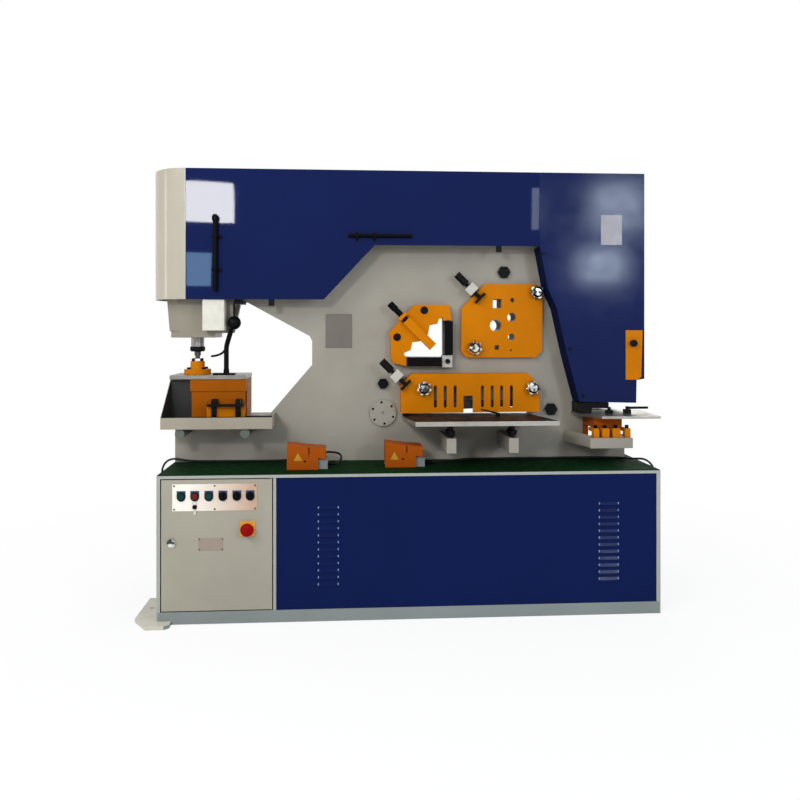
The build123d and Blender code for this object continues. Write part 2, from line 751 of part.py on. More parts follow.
def bolster_clamps():
    """Black clamps and their cross bar on the bolster's front block."""
    pieces = []
    for x in (-942, -827):
        clamp = block(x - 12, x + 12, -178, -160, JAW_TOP_Z + 5, 981)
        clamp += block(x - 12, x + 12, -178, -119, 950, 981)
        pieces.append(clamp)
    bar = block(-973, -797, -190, -178, 947, 960)
    pieces.append(bar)
    return pieces


def punch_table():
    """Steel table that the die holder is bolted to."""
    table = block(-1161, -796, -130, 130, TABLE_Z - TABLE_T, TABLE_Z)
    table -= post(PUNCH_X, 0, TABLE_Z - TABLE_T - 1, TABLE_Z + 1, 24)
    return table


def die_holder():
    """Flanged die holder with its die and clamp screws."""
    outline = Polygon(
        (24, TABLE_Z), (66, TABLE_Z), (66, TABLE_Z + 26), (39, TABLE_Z + 26),
        (35, TABLE_Z + 32), (35, 1160), (24, 1160), align=None,
    )
    holder = Pos(PUNCH_X, 0, 0) * revolve(Plane.XZ * outline, Axis.Z)
    ring = Polygon((PUNCH_R + 1, 1128), (24, 1128), (24, 1160), (PUNCH_R + 1, 1160), align=None)
    holder += Pos(PUNCH_X, 0, 0) * revolve(Plane.XZ * ring, Axis.Z)
    for turn in range(4):
        angle = radians(45 + 90 * turn)
        holder += post(PUNCH_X + 29 * cos(angle), 29 * sin(angle), 1159, 1174, 5)
        holder += hex_z(PUNCH_X + 52 * cos(angle), 52 * sin(angle), 1120, 1130, 16)
    return holder


def chip_tray():
    """Sheet tray in front of the lower jaw; its left side rises to the table."""
    x0, x1, y0, y1 = -1168.0, -652.0, -290.0, PLATE_FRONT
    z0, lip, high, t = 852.0, 906.0, 1074.0, 3.0
    floor = block(x0, x1, y0, y1, z0, z0 + t)
    side = Plane.YZ.offset(x0) * Polygon((y0, z0), (y1, z0), (y1, high), (y0, lip), align=None)
    tray = floor + extrude(side, amount=t, dir=(1, 0, 0))
    tray += block(x0, x1, y0, y0 + t, z0, lip)
    tray += block(x1 - t, x1, y0, y1, z0, lip)
    tray += block(x0, x1, y1 - t, y1, z0, JAW_TOP_Z - 1)
    tray += block(x0, -1066, y1 - t, y1, z0, high)
    for x in (-1082, -781):
        tray += bar_y(x, z0 - 22, y0 + 12, y1, 22)
    tray += block(x1, x1 + 4, y0 + 8, y0 + 60, z0 + 14, lip + 14)
    return tray


def work_lamp():
    """Work lamp on the table: foot, bent neck, round head and its lead to a clip under the jaw."""
    x, y, z = -893.0, -100.0, TABLE_Z + 28
    foot = block(-955, -850, -125, -75, TABLE_Z, TABLE_Z + 10)
    foot += post(x, y, TABLE_Z + 10, z, 14)
    bend = FilletPolyline((x, y, z), (x, y, z + 112), (x + 36, y - 46, z + 213), radius=60)
    neck = sweep(Plane(origin=bend @ 0, z_dir=bend % 0) * Circle(12), path=bend)
    head_r = 33.0
    neck += Pos(x + 45, y - 52, 1350) * Sphere(head_r)
    lead = post(x + 45, y - 52, 1350 + head_r + SEAT, 1441, 5)
    lead += block(-850, -804, -165, -45, 1440, THROAT_TOP_Z - SEAT)
    return Compound([foot, neck, lead])


# Shear station

ANGLE_PLATE_Y = PLATE_FRONT - 45
BAR_PLATE_Y = PLATE_FRONT - 30
GUARD_Y = PLATE_FRONT - 75
HALF_ROOT = 0.5 ** 0.5


def screw_bore(x, z, y, length, r):
    """A round bar along the slanted line that the hold-downs are driven on."""
    tilt = Pos(x, y, z) * Rot(0, 135, 0)
    return tilt * Cylinder(r, length)


def slanted_box(x, z, y0, y1, along, across):
    """A box turned by 45 degrees about Y, with one side along the hold-down line."""
    return Pos(x, (y0 + y1) / 2, z) * Rot(0, 45, 0) * Box(along, y1 - y0, across)


ANGLE_TIP_X = 120.0
ANGLE_TIP_Z = 1232.0
GUIDE_W = 43.0
GUIDE_L = 186.0
GUIDE_LUG = 212.0
GUIDE_SCREW_R = 14.0


def angle_plate():
    """Yellow casting in front of the angle shear, with its stepped opening and guide lug."""
    x = ANGLE_CORNER_X
    z = ANGLE_CORNER_Z
    outline = [
        (29, 1440), (204, 1440), (216, z + 182), (x - 3, z + 179),
        (x - 3, z + 196), (x - 22, z + 190), (x - 32, z + 164), (x - 70, z + 156),
        (x - 78, z + 112), (x - 112, z + 78), (x - 156, z + 72), (x - 164, z + 34),
        (x - 196, z + 20), (x - 196, z + 9), (x - 184, z + 1), (x - 184, 1136),
        (-76, 1152), (-87, 1179), (-86, 1270), (-97, 1299),
    ]
    plate = slab(outline, ANGLE_PLATE_Y, PLATE_FRONT)
    lug_x = ANGLE_TIP_X - HALF_ROOT * GUIDE_LUG
    lug_z = ANGLE_TIP_Z + HALF_ROOT * GUIDE_LUG
    plate += slanted_box(lug_x, lug_z, ANGLE_PLATE_Y - 34, ANGLE_PLATE_Y, 18, GUIDE_W + 6)
    plate -= screw_bore(lug_x, lug_z, ANGLE_PLATE_Y - 16, 60, GUIDE_SCREW_R + RUN)
    for bolt_x, bolt_z in ((79, 1413), (-56, 1280)):
        plate += bar_y(bolt_x, bolt_z, ANGLE_PLATE_Y - 3, ANGLE_PLATE_Y, 19)
    return plate


def angle_hold_down():
    """Sliding guide bar that presses an angle bar into the corner, and the screw behind it."""
    y = ANGLE_PLATE_Y - 16
    pieces = []
    for start, end in ((0, GUIDE_L), (GUIDE_L - 2, GUIDE_LUG + 52), (GUIDE_LUG + 50, GUIDE_LUG + 91)):
        reach = HALF_ROOT * (start + end) / 2
        pieces.append((ANGLE_TIP_X - reach, ANGLE_TIP_Z + reach, end - start))
    bar, shank, head = pieces
    guide = slanted_box(bar[0], bar[1], y - 14, y + 14, bar[2], GUIDE_W)
    guide += screw_bore(shank[0], shank[1], y, shank[2], GUIDE_SCREW_R)
    return guide + screw_bore(head[0], head[1], y, head[2], GUIDE_SCREW_R + 3)


def bar_plate():
    """Yellow plate in front of the bar shear, with an opening for each bar size."""
    outline = [
        (387, 1546), (650, 1546), (678, 1517), (674, 1212), (642, 1178),
        (290, 1178), (265, 1209), (268, 1424),
    ]
    plate = slab(outline, BAR_PLATE_Y, PLATE_FRONT)
    plate = fillet(plate.edges().filter_by(Axis.Y), 16)
    return plate - bar_holes(BAR_PLATE_Y - 1, PLATE_FRONT + 1)


SLOT_X = (131, 180, 229, 365, 414, 461, 510)


def flat_guard():
    """Yellow guard over the flat shear: a folded front with viewing slots and a gauge notch."""
    outer = [(14, 1100), (593, 1100), (649, 1042), (650, 910), (-38, 906), (-39, 1042)]
    inner = [(17, 1092), (590, 1092), (641, 1039), (642, 900), (-30, 900), (-31, 1039)]
    guard = slab(outer, GUARD_Y, PLATE_FRONT)
    guard -= slab(inner, GUARD_Y + 8, PLATE_FRONT + 1)
    for x in SLOT_X:
        guard -= block(x - 7.5, x + 7.5, GUARD_Y - 1, GUARD_Y + 9, 940, 1034)
        guard -= bar_y(x, 940, GUARD_Y - 1, GUARD_Y + 9, 7.5)
        guard -= bar_y(x, 1034, GUARD_Y - 1, GUARD_Y + 9, 7.5)
    return guard - block(271, 317, GUARD_Y - 1, GUARD_Y + 9, 900, 991)


HOLD_BAR = (318.0, 1515.0)
HOLD_FLAT = (-57.0, 1087.0)


def hold_down_blocks():
    """Grey nut blocks of the two hold-down screws."""
    pieces = []
    for (x, z), face in ((HOLD_BAR, BAR_PLATE_Y), (HOLD_FLAT, GUARD_Y)):
        depth = face - 32
        nut = slanted_box(x - 4, z + 4, depth, PLATE_FRONT, 42, 54)
        nut -= screw_bore(x, z, face - 15, 90, 10 + RUN)
        pieces.append(nut)
    return Compound(pieces)


def hold_down_screw(place, face):
    """Hold-down screw with its hexagon head and its cross foot."""
    x, z = place
    y = face - 15
    screw = screw_bore(x, z, y, 122, 10)
    head = HALF_ROOT * 75
    bolt = Plane(origin=(x - head, y, z + head), z_dir=(-1, 0, 1))
    screw += extrude(bolt * RegularPolygon(16, 6, major_radius=False), amount=34, both=True)
    foot = HALF_ROOT * 58
    screw += slanted_box(x + foot, z - foot, y - 12, y + 12, 12, 66)
    return screw


KNOB_LOBES = 7
KNOB_R = 32.0


def star_knob(x, z, face):
    """Chromed star knob with its stud, standing on a face of the front."""
    steps = 8 * KNOB_LOBES
    outline = []
    for step in range(steps):
        angle = 2 * pi * step / steps
        reach = KNOB_R + 4.5 * cos(KNOB_LOBES * (angle - pi / 2))
        outline.append((x + reach * cos(angle), z + reach * sin(angle)))
    knob = slab(outline, face - 30, face - 12)
    knob += bar_y(x, z, face - 12, face - SEAT, 14)
    dome = Pos(x, face - 35, z) * Rot(90, 0, 0) * Cone(KNOB_R - 5, KNOB_R - 14, 10)
    return knob + dome + bar_y(x, z, face - 44, face - 40, 12)


KNOB_PLACES = {
    "bar_knob_upper": (644.0, 1505.0, BAR_PLATE_Y),
    "bar_knob_lower": (330.0, 1226.0, BAR_PLATE_Y),
    "guard_knob_left": (74.0, 1029.0, GUARD_Y),
    "guard_knob_right": (614.0, 1030.0, GUARD_Y),
}


def shear_table():
    """Table of the flat shear, wider at its front."""
    z1 = SHEAR_TABLE_Z
    plan = [(-30, PLATE_FRONT), (-30, -230), (8, FRONT), (676, FRONT), (600, PLATE_FRONT)]
    return sheet(plan, z1 - SHEAR_TABLE_T, z1)


ARM_X = (181.0, 474.0)


def table_arms():
    """Two square arms of the table, welded to the frame."""
    pieces = []
    for x in ARM_X:
        arm = block(x - 23, x + 23, -380, PLATE_FRONT, 741, 811)
        pieces.append(arm)
    return Compound(pieces)


def table_fittings():
    """Black levelling bolts, table stops, lever and notcher stops."""
    pieces = []
    under = SHEAR_TABLE_Z - SHEAR_TABLE_T
    for x in ARM_X:
        for y in (-350, -300):
            bolt = post(x, y, 811, under, 10)
            bolt += hex_z(x, y, 823, 845, 34)
            pieces.append(bolt)
    lever = post(430, -210, SHEAR_TABLE_Z, SHEAR_TABLE_Z + 16, 11)
    lever += slab([(345, 926), (351, 932), (432, 913), (430, 905)], -216, -204)
    pieces.append(lever)
    top = NOTCH_TABLE_Z
    for x, y in ((975, -235), (1075, -205)):
        stop = block(x - 16, x + 16, y - 14, y + 14, top, top + 20)
        stop += post(x, y, top + 20, top + 34, 8)
        pieces.append(stop)
    rod = bar_x(-205, top + 27, 1083, 1180, 6)
    pieces.append(rod)
    guard = block(835, 900, COVER_FRONT, PLATE_FRONT, top + SEAT, 957)
    guard += block(900, 985, COVER_FRONT, PLATE_FRONT, 930, 957)
    pieces.append(guard)
    return Compound(pieces + bolster_clamps())


# Notcher

NOTCH_TABLE_Z = 905.0
NOTCH_TABLE_T = 12.0
NOTCH_GAP = 12.0


def notcher_table():
    """Table of the notcher, with the opening for the punch."""
    z1 = NOTCH_TABLE_Z
    plan = [(830, PLATE_FRONT - SEAT), (830, -200), (905, -345), (1186, -355), (1205, 90), (895, 90),
            (895, PLATE_FRONT - SEAT)]
    table = sheet(plan, z1 - NOTCH_TABLE_T, z1)
    gap = NOTCH_GAP
    return table - block(NOTCH_X0 - gap, NOTCH_X1 + gap, -48, 48, z1 - 20, z1 + 1)


def notcher_die():
    """Orange die holder under the notcher's table, with its drop opening."""
    top = NOTCH_TABLE_Z - NOTCH_TABLE_T
    die = block(895, 1032, -255, 90, 838, top)
    gap = NOTCH_GAP
    die -= block(NOTCH_X0 - gap, NOTCH_X1 + gap, -48, 48, 830, top + 1)
    die += block(895, 921, -75, 75, FOOT_STEP_Z, 838)
    die += block(1020, 1040, -75, 75, FOOT_STEP_Z, 838)
    return die


def notcher_clamps():
    """Four yellow clamp fingers in front of the die holder, with black screws."""
    pieces = []
    for x, width in ((892, 26), (938, 36), (991, 38), (1046, 26)):
        finger = block(x - width / 2, x + width / 2, -300, -262, 797, 842)
        finger = fillet(finger.edges().filter_by(Axis.Y), 5)
        finger += block(x - width / 2 + 4, x + width / 2 - 4, -262, -200, 822, 838)
        finger += post(x, -281, 842, 856, 9)
        pieces.append(finger)
    return Compound(pieces)


def notcher_bracket():
    """Folded tray under the notcher, with its slanted ear and a screw."""
    x0, x1, y0, z0, z1, t = 856.0, 1064.0, -318.0, 749.0, 797.0, 4.0
    tray = block(x0, x1, y0, PLATE_FRONT, z0, z0 + t)
    tray += block(x0, x1, y0, y0 + t, z0, z1)
    tray += block(x1 - t, x1, y0, PLATE_FRONT, z0, z1)
    tray += block(x0, x0 + t, y0, PLATE_FRONT, z0, z1)
    tray += block(x0 + t, x1 - t, -300, -200, z0 + t, z1)
    ear = [(x0, y0), (x0 - 62, PLATE_FRONT), (x0 - 50, PLATE_FRONT), (x0, y0 + 50)]
    tray += sheet(ear, z0 + 4, z1 + 12)
    return tray


# Control cabinet

STATION_X = [DOOR_X0 + inset for inset in (88, 148, 210, 272, 334, 393)]
STATION_Z = BASE_H - 91
STATION_R = 14.5
BEZEL_H = 9.0
BUTTON_TRAVEL = 4.0
STOP_X = DOOR_X0 + 382
STOP_Z = BASE_H - 239
LOCK_X = DOOR_X0 + 45
LOCK_Z = BASE_H - 298
PLATE_FACE = FRONT - 2


def cabinet_door():
    """Folded door of the control bay, with its hinge pins welded in."""
    t = DOOR_SHEET
    low = OPENING_LOW + DOOR_GAP
    high = OPENING_HIGH - DOOR_GAP
    door = block(DOOR_X0, DOOR_X1, FRONT, FRONT + DOOR_RETURN, low, high)
    door -= block(DOOR_X0 + t, DOOR_X1 - t, FRONT + t, FRONT + DOOR_RETURN + 1, low + t, high - t)
    x, y = hinge_axis()
    door += post(x, y, OPENING_LOW - 6, low + 12, HINGE_PIN_R)
    door += post(x, y, high - 12, OPENING_HIGH + 5, HINGE_PIN_R)
    return door - bar_y(LOCK_X, LOCK_Z, FRONT - 1, FRONT + t + 1, 12 + RUN)


def door_lock():
    """Quarter-turn lock with its ring and the cam inside the door."""
    lock = bar_y(LOCK_X, LOCK_Z, FRONT - 6, FRONT - 0.2, 19)
    lock += bar_y(LOCK_X, LOCK_Z, FRONT - 1, FRONT + 20, 12)
    lock -= block(LOCK_X - 2, LOCK_X + 2, FRONT - 7, FRONT - 2, LOCK_Z - 9, LOCK_Z + 9)
    return lock + block(LOCK_X - 9, LOCK_X + 9, FRONT + 17, FRONT + 21, LOCK_Z - 10, LOCK_Z + 57)


def legend_plate(x, z):
    """Square legend plate with a round lower end."""
    plate = block(x - 19.5, x + 19.5, PLATE_FACE - 1.5, PLATE_FACE, z - 4, z + 24)
    return plate + bar_y(x, z - 4, PLATE_FACE - 1.5, PLATE_FACE, 19.5)


def control_panel():
    """Panel plate on the door with six legend plates, the bezels and the small bare plate."""
    panel = block(DOOR_X0 + 49, DOOR_X0 + 423, PLATE_FACE, FRONT, STATION_Z - 66, STATION_Z + 54)
    for x in STATION_X:
        panel += legend_plate(x, STATION_Z)
        panel += bar_y(x, STATION_Z, PLATE_FACE - BEZEL_H, PLATE_FACE, STATION_R + 4)
        panel -= bar_y(x, STATION_Z, PLATE_FACE - BEZEL_H - 1, PLATE_FACE, STATION_R + 0.1)
    base = block(STOP_X - 34, STOP_X + 34, FRONT - 4, FRONT, STOP_Z - 35, STOP_Z + 35)
    base += bar_y(STOP_X, STOP_Z, FRONT - 16, FRONT - 4, 20)
    base -= bar_y(STOP_X, STOP_Z, FRONT - 17, FRONT - 3, 14.1)
    small = block(DOOR_X0 + 164, DOOR_X0 + 273, FRONT - 1, FRONT, LOCK_Z - 37, LOCK_Z + 19)
    pieces = [panel, base, small]
    for inset in (57, 236, 415):
        for z in (STATION_Z - 58, STATION_Z + 46):
            pieces.append(bar_y(DOOR_X0 + inset, z, PLATE_FACE - 2, PLATE_FACE, 4))
    return Compound(pieces)


def push_button(x):
    """Round push button that travels in its bezel, with its rim eased."""
    y = PLATE_FACE - BEZEL_H - 3
    button = bar_y(x, STATION_Z, y, PLATE_FACE - BUTTON_TRAVEL - 0.5, STATION_R)
    rim = button.edges().filter_by(GeomType.CIRCLE).sort_by(Axis.Y)[0]
    return chamfer(rim, 2)


def selector(x):
    """Rotary selector with a raised handle."""
    y = PLATE_FACE - BEZEL_H
    knob = bar_y(x, STATION_Z, y, PLATE_FACE - 1, STATION_R)
    return knob + block(x - 4, x + 4, y - 11, y, STATION_Z - 14, STATION_Z + 14)


def emergency_stop():
    """Red mushroom head on its stem."""
    head = Polygon((0, 0), (0, 24), (18, 22), (28, 15), (30, 8), (26, 0), align=None)
    cap = revolve(Plane.XZ * head, Axis.Z)
    cap = Pos(STOP_X, FRONT - 22, STOP_Z) * Rot(90, 0, 0) * cap
    return cap + bar_y(STOP_X, STOP_Z, FRONT - 22, FRONT - 8, 14)


# Foot pedals

PEDAL_PLACES = ((-581.0, -339.0), (-123.0, -302.0))
PEDAL_D = 116.0
PEDAL_STEP = 98.0
PEDAL_LOW_END = 145.0
PEDAL_END = 178.0
PEDAL_WALL = 4.0
PEDAL_BASE_T = 5.0
PEDAL_PIN_X = 84.0
PEDAL_PIN_R = 5.0
PEDAL_PIN_Z = DECK_Z + 39
GLAND_X = 196.0
GLAND_Z = DECK_Z + 17


def pedal_hood(x, y0):
    """Orange hood of one pedal: open on the left, with a stepped block on the right."""
    y1 = y0 + PEDAL_D
    step = x + PEDAL_STEP
    end = x + PEDAL_END
    low = x + PEDAL_LOW_END
    outer = [
        (x, DECK_Z), (low, DECK_Z), (low, 720), (end, 713),
        (end, 762), (end - 8, 766), (step, 771), (x, 785),
    ]
    hood = slab(outer, y0, y1)
    inner = step - 2
    hollow = [(x - 1, DECK_Z - 1), (inner, DECK_Z - 1), (inner, 771 - PEDAL_WALL), (x - 1, 785 - PEDAL_WALL)]
    hood -= slab(hollow, y0 + PEDAL_WALL, y1 - PEDAL_WALL)
    hood -= block(step, end + 1, y0 - 1, y0 + 4, 724, 790)
    hood -= block(step, step + 8, y0 - 1, y0 + 12, 738, 790)
    return hood - bar_y(x + PEDAL_PIN_X, PEDAL_PIN_Z, y0 - 1, y1 + 1, PEDAL_PIN_R + RUN)


def pedal_base(x, y0):
    """Grey plate under one hood, and the grey box with the cable gland at its right end."""
    y1 = y0 + PEDAL_D
    inset = PEDAL_WALL + SEAT
    plate = block(
        x + 2, x + PEDAL_STEP - 2 - SEAT, y0 + inset, y1 - inset,
        DECK_Z, DECK_Z + PEDAL_BASE_T,
    )
    box = block(x + PEDAL_LOW_END + SEAT, x + GLAND_X - 8, y0 + 14, y1 - 14, DECK_Z, 712)
    box += bar_x((y0 + y1) / 2, GLAND_Z, x + GLAND_X - 8, x + GLAND_X, 9)
    return [plate, box]


def foot_pedal_housings():
    """Both pedal hoods with their base plates and gland boxes."""
    pieces = []
    for x, front in PEDAL_PLACES:
        pieces.append(pedal_hood(x, front))
        pieces += pedal_base(x, front)
    return Compound(pieces)


def pedal(x, y0):
    """Pedal plate with its hinge pin."""
    y1 = y0 + PEDAL_D
    pin_x = x + PEDAL_PIN_X
    pin = bar_y(pin_x, PEDAL_PIN_Z, y0 + 1, y1 - 1, PEDAL_PIN_R)
    outline = [
        (x + 12, 716), (pin_x + 8, 698), (pin_x + 10, 706), (pin_x, 714), (x + 14, 724),
    ]
    return pin + slab(outline, y0 + 12, y1 - 12)


def gland_end(place):
    """Place where a cable leaves its gland."""
    x, front = place
    return x + GLAND_X, front + PEDAL_D / 2, GLAND_Z


# Cables of the foot pedals

CABLE_R = 5.0
CABLE_Z = DECK_Z + CABLE_R + SEAT
LEFT_END = -BASE_L / 2
RIGHT_END = BASE_L / 2
LEFT_EXIT = gland_end(PEDAL_PLACES[0])
RIGHT_EXIT = gland_end(PEDAL_PLACES[1])
LEFT_ENTRY = (LEFT_END - 54, -70.0, DECK_Z - 147)
RIGHT_ENTRY = (RIGHT_END + 28, -290.0, DECK_Z - 157)

LEFT_ROUTE = [
    LEFT_EXIT,
    (-354, -281, GLAND_Z),
    (-330, -262, 700),
    (-330, -226, 718),
    (-358, -196, 726),
    (-404, -172, 724),
    (-460, -146, 710),
    (-530, -118, 690),
    (-610, -100, CABLE_Z + 1),
    (-720, -99, CABLE_Z),
    (-840, -95, CABLE_Z + 0.5),
    (LEFT_END + 110, -98, CABLE_Z + 1),
    (LEFT_END + 52, -95, 679),
    (LEFT_END + 2, -90, 688),
    (LEFT_END - 39, -84, 672),
    (LEFT_END - 60, -78, 630),
    (LEFT_END - 54, -70, 578),
    LEFT_ENTRY,
]

RIGHT_ROUTE = [
    RIGHT_EXIT,
    (112, -244, GLAND_Z),
    (154, -222, 681),
    (192, -178, 676),
    (240, -130, CABLE_Z),
    (310, -108, CABLE_Z + 0.5),
    (420, -100, CABLE_Z),
    (560, -96, CABLE_Z + 1),
    (710, -99, CABLE_Z),
    (840, -95, CABLE_Z + 0.5),
    (RIGHT_END - 126, -106, CABLE_Z + 0.5),
    (RIGHT_END - 76, -134, CABLE_Z + 2),
    (RIGHT_END - 54, -184, 677),
    (RIGHT_END - 36, -234, 686),
    (RIGHT_END - 10, -274, 690),
    (RIGHT_END + 18, -298, 664),
    (RIGHT_END + 30, -302, 616),
    (RIGHT_END + 28, -290, 566),
    RIGHT_ENTRY,
]


def corner_radii(route):
    """Largest arc that each corner of a route has room for."""
    points = [Vector(*p) for p in route]
    radii = []
    for before, here, after in zip(points, points[1:], points[2:]):
        run_in = here - before
        run_out = after - here
        turn = radians(run_in.get_angle(run_out))
        shorter = min(run_in.length, run_out.length)
        radii.append(0.45 * shorter / (sin(turn / 2) / cos(turn / 2)))
    return radii


def cable(name, route):
    """Cable tube along its route, with a printed comparison of its volume."""
    radii = corner_radii(route)
    path = FilletPolyline(*route, radius=radii)
    tube = sweep(Plane(origin=path @ 0, z_dir=path % 0) * Circle(CABLE_R), path=path)
    share = tube.volume / (pi * CABLE_R ** 2 * path.length)
    print(name, "length", round(path.length), "volume share", round(share, 4))
    print(name, "radii", [round(r) for r in radii])
    return tube


def cable_entries():
    """Cable entry boxes on the two ends of the base."""
    pieces = []
    for (x, y, top), side in ((LEFT_ENTRY, -1), (RIGHT_ENTRY, 1)):
        wall = side * BASE_L / 2
        low, high = sorted((wall, x + side * 14))
        box = block(low, high, y - 22, y + 22, top - 52, top - 12)
        box += post(x, y, top - 13, top, 9)
        pieces.append(box)
    return pieces


def frame_bolts():
    """Black hexagon bolts and screws on the frame and covers, and the cable entries."""
    pieces = []
    for x, z, across in ((485, 1606, 56), (725, 916, 56), (-124, 1048, 48)):
        pieces.append(hex_y(x, z, PLATE_FRONT - 20, PLATE_FRONT, across))
    for turn in range(6):
        x, z = flange_screw(turn)
        pieces.append(bar_y(x, z, PLATE_FRONT - 11, PLATE_FRONT - 5, 5.5))
    for x, z in ((79, 1413), (-56, 1280)):
        pieces.append(bar_y(x, z, ANGLE_PLATE_Y - 12, ANGLE_PLATE_Y - 3, 13))
    pieces.append(bar_y(ANGLE_CORNER_X + 20, ANGLE_CORNER_Z - 22, PLATE_FRONT - 50, PLATE_FRONT - 40, 12))
    for x, z in ((657, 1690), (792, 1222), (855, 992)):
        pieces.append(bar_y(x, z, COVER_FRONT - 6, COVER_FRONT, 8))
    tab = COVER_FRONT + COVER_T
    for x, z in ((-665, 1450), (438, 1716)):
        pieces.append(block(x - 14, x + 14, tab, tab + 6, z - 20, z + 40))
    pieces.append(block(-409, -278, PLATE_FRONT - 2, PLATE_FRONT, 1226, 1395))
    return Compound(pieces + cable_entries())


def base_pieces():
    """The base with its panels, its door and what the door carries."""
    pieces = {
        "base_cabinet": base_cabinet(),
        "service_panel": service_panel(),
        "bench_mat": bench_mat(),
        "cabinet_door": cabinet_door(),
        "door_lock": door_lock(),
        "control_panel": control_panel(),
        "emergency_stop": emergency_stop(),
    }
    for name, x in zip(("start_button", "stop_button", "jog_button"), STATION_X):
        pieces[name] = push_button(x)
    for name, x in zip(("pump_selector", "mode_selector", "side_selector"), STATION_X[3:]):
        pieces[name] = selector(x)
    return pieces


def machine_pieces():
    """Frame, beam, cylinders, covers and the punch station."""
    return {
        "front_frame_plate": front_frame_plate(),
        "rear_frame_plate": rear_frame_plate(),
        "pivot_pin": pivot_pin(),
        "shear_beam": shear_beam(),
        "fixed_blades": fixed_blades(),
        "moving_blades": moving_blades(),
        "shear_cylinder": shear_cylinder(),
        "shear_piston_rod": shear_piston_rod(),
        "punch_cylinder": punch_cylinder(),
        "punch_ram": punch_ram(),
        "punch_tooling": punch_tooling(),
        "stroke_rod": stroke_rod(),
        "gauge_rod_and_clips": gauge_rod_and_clips(),
        "upper_cover": upper_cover(),
        "right_cover": right_cover(),
        "punch_cover": punch_cover(),
        "side_guard": side_guard(),
        "switch_box": switch_box(),
        "bolster": bolster(),
        "punch_table": punch_table(),
        "die_holder": die_holder(),
        "chip_tray": chip_tray(),
        "work_lamp": work_lamp(),
        "frame_bolts": frame_bolts(),
    }


def shear_pieces():
    """Shear stations, notcher, foot pedals and cables."""
    pieces = {
        "angle_plate": angle_plate(),
        "angle_hold_down": angle_hold_down(),
        "bar_plate": bar_plate(),
        "flat_guard": flat_guard(),
        "hold_down_blocks": hold_down_blocks(),
        "bar_hold_down": hold_down_screw(HOLD_BAR, BAR_PLATE_Y),
        "flat_hold_down": hold_down_screw(HOLD_FLAT, GUARD_Y),
        "shear_table": shear_table(),
        "table_arms": table_arms(),
        "table_fittings": table_fittings(),
        "notcher_table": notcher_table(),
        "notcher_die": notcher_die(),
        "notcher_clamps": notcher_clamps(),
        "notcher_bracket": notcher_bracket(),
        "foot_pedal_housings": foot_pedal_housings(),
        "left_pedal_cable": cable("left cable", LEFT_ROUTE),
        "right_pedal_cable": cable("right cable", RIGHT_ROUTE),
    }
    for name, (x, z, face) in KNOB_PLACES.items():
        pieces[name] = star_knob(x, z, face)
    for name, (x, front) in zip(("left_pedal", "right_pedal"), PEDAL_PLACES):
        pieces[name] = pedal(x, front)
    return pieces


def build():
    """Every sub-part by its name; what stands on the base moves up and down with its height."""
    parts = base_pieces()
    lift = Pos(0, 0, BASE_H - STAND_H)
    for name, solid in (machine_pieces() | shear_pieces()).items():
        parts[name] = lift * solid
    return parts


os.makedirs("parts", exist_ok=True)
for part_name, solid in build().items():
    export_step(solid, f"parts/{part_name}.step")
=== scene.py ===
"""Looks of the hydraulic ironworker: paints, steels, cables and the small parts that finish it."""

import json
from math import cos, pi, radians, sin

import bmesh
import bpy
from mathutils import Matrix, Vector

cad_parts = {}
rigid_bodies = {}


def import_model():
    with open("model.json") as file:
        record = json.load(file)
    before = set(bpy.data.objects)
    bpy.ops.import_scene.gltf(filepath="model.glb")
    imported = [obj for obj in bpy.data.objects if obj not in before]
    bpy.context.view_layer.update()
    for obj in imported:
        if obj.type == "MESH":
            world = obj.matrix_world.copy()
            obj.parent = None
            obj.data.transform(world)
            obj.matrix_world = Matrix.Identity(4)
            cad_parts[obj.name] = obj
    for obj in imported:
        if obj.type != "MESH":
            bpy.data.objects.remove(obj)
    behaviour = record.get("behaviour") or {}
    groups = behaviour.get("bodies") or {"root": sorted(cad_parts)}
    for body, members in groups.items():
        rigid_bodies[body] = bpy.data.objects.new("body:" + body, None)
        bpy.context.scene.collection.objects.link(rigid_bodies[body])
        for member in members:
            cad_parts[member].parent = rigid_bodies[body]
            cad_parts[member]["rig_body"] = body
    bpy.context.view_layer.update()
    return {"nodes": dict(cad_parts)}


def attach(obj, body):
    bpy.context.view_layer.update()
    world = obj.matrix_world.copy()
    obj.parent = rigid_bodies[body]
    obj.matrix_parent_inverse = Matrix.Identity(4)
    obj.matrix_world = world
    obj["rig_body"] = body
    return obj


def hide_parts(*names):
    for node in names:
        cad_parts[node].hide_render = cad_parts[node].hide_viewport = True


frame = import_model()
NODES = frame["nodes"]


def linked(name, data):
    """A new object in the scene that shows the data given."""
    item = bpy.data.objects.new(name, data)
    bpy.context.scene.collection.objects.link(item)
    return item


# Camera, as the photograph was taken

def place_camera():
    """Camera level with the working height, turned slightly to the right."""
    data = bpy.data.cameras.new("camera")
    data.sensor_width = 36.0
    data.lens = 35.71
    data.shift_y = -0.0854
    data.clip_end = 100.0
    camera = linked("camera", data)
    camera.location = (-0.301, -4.037, 1.307)
    camera.rotation_euler = (radians(90.0), 0.0, radians(-3.79))
    bpy.context.scene.camera = camera


place_camera()


# Materials

# Sockets of the mix node when it mixes colours: its names repeat for each kind of value
MIX_SHARE, MIX_UNDER, MIX_OVER = 0, 6, 7
MIX_RESULT = 2


def shade(colour, factor):
    """A colour made lighter or darker."""
    return tuple(min(1.0, channel * factor) for channel in colour)


def grey(value):
    """A colour whose three channels are equal."""
    return (value, value, value)


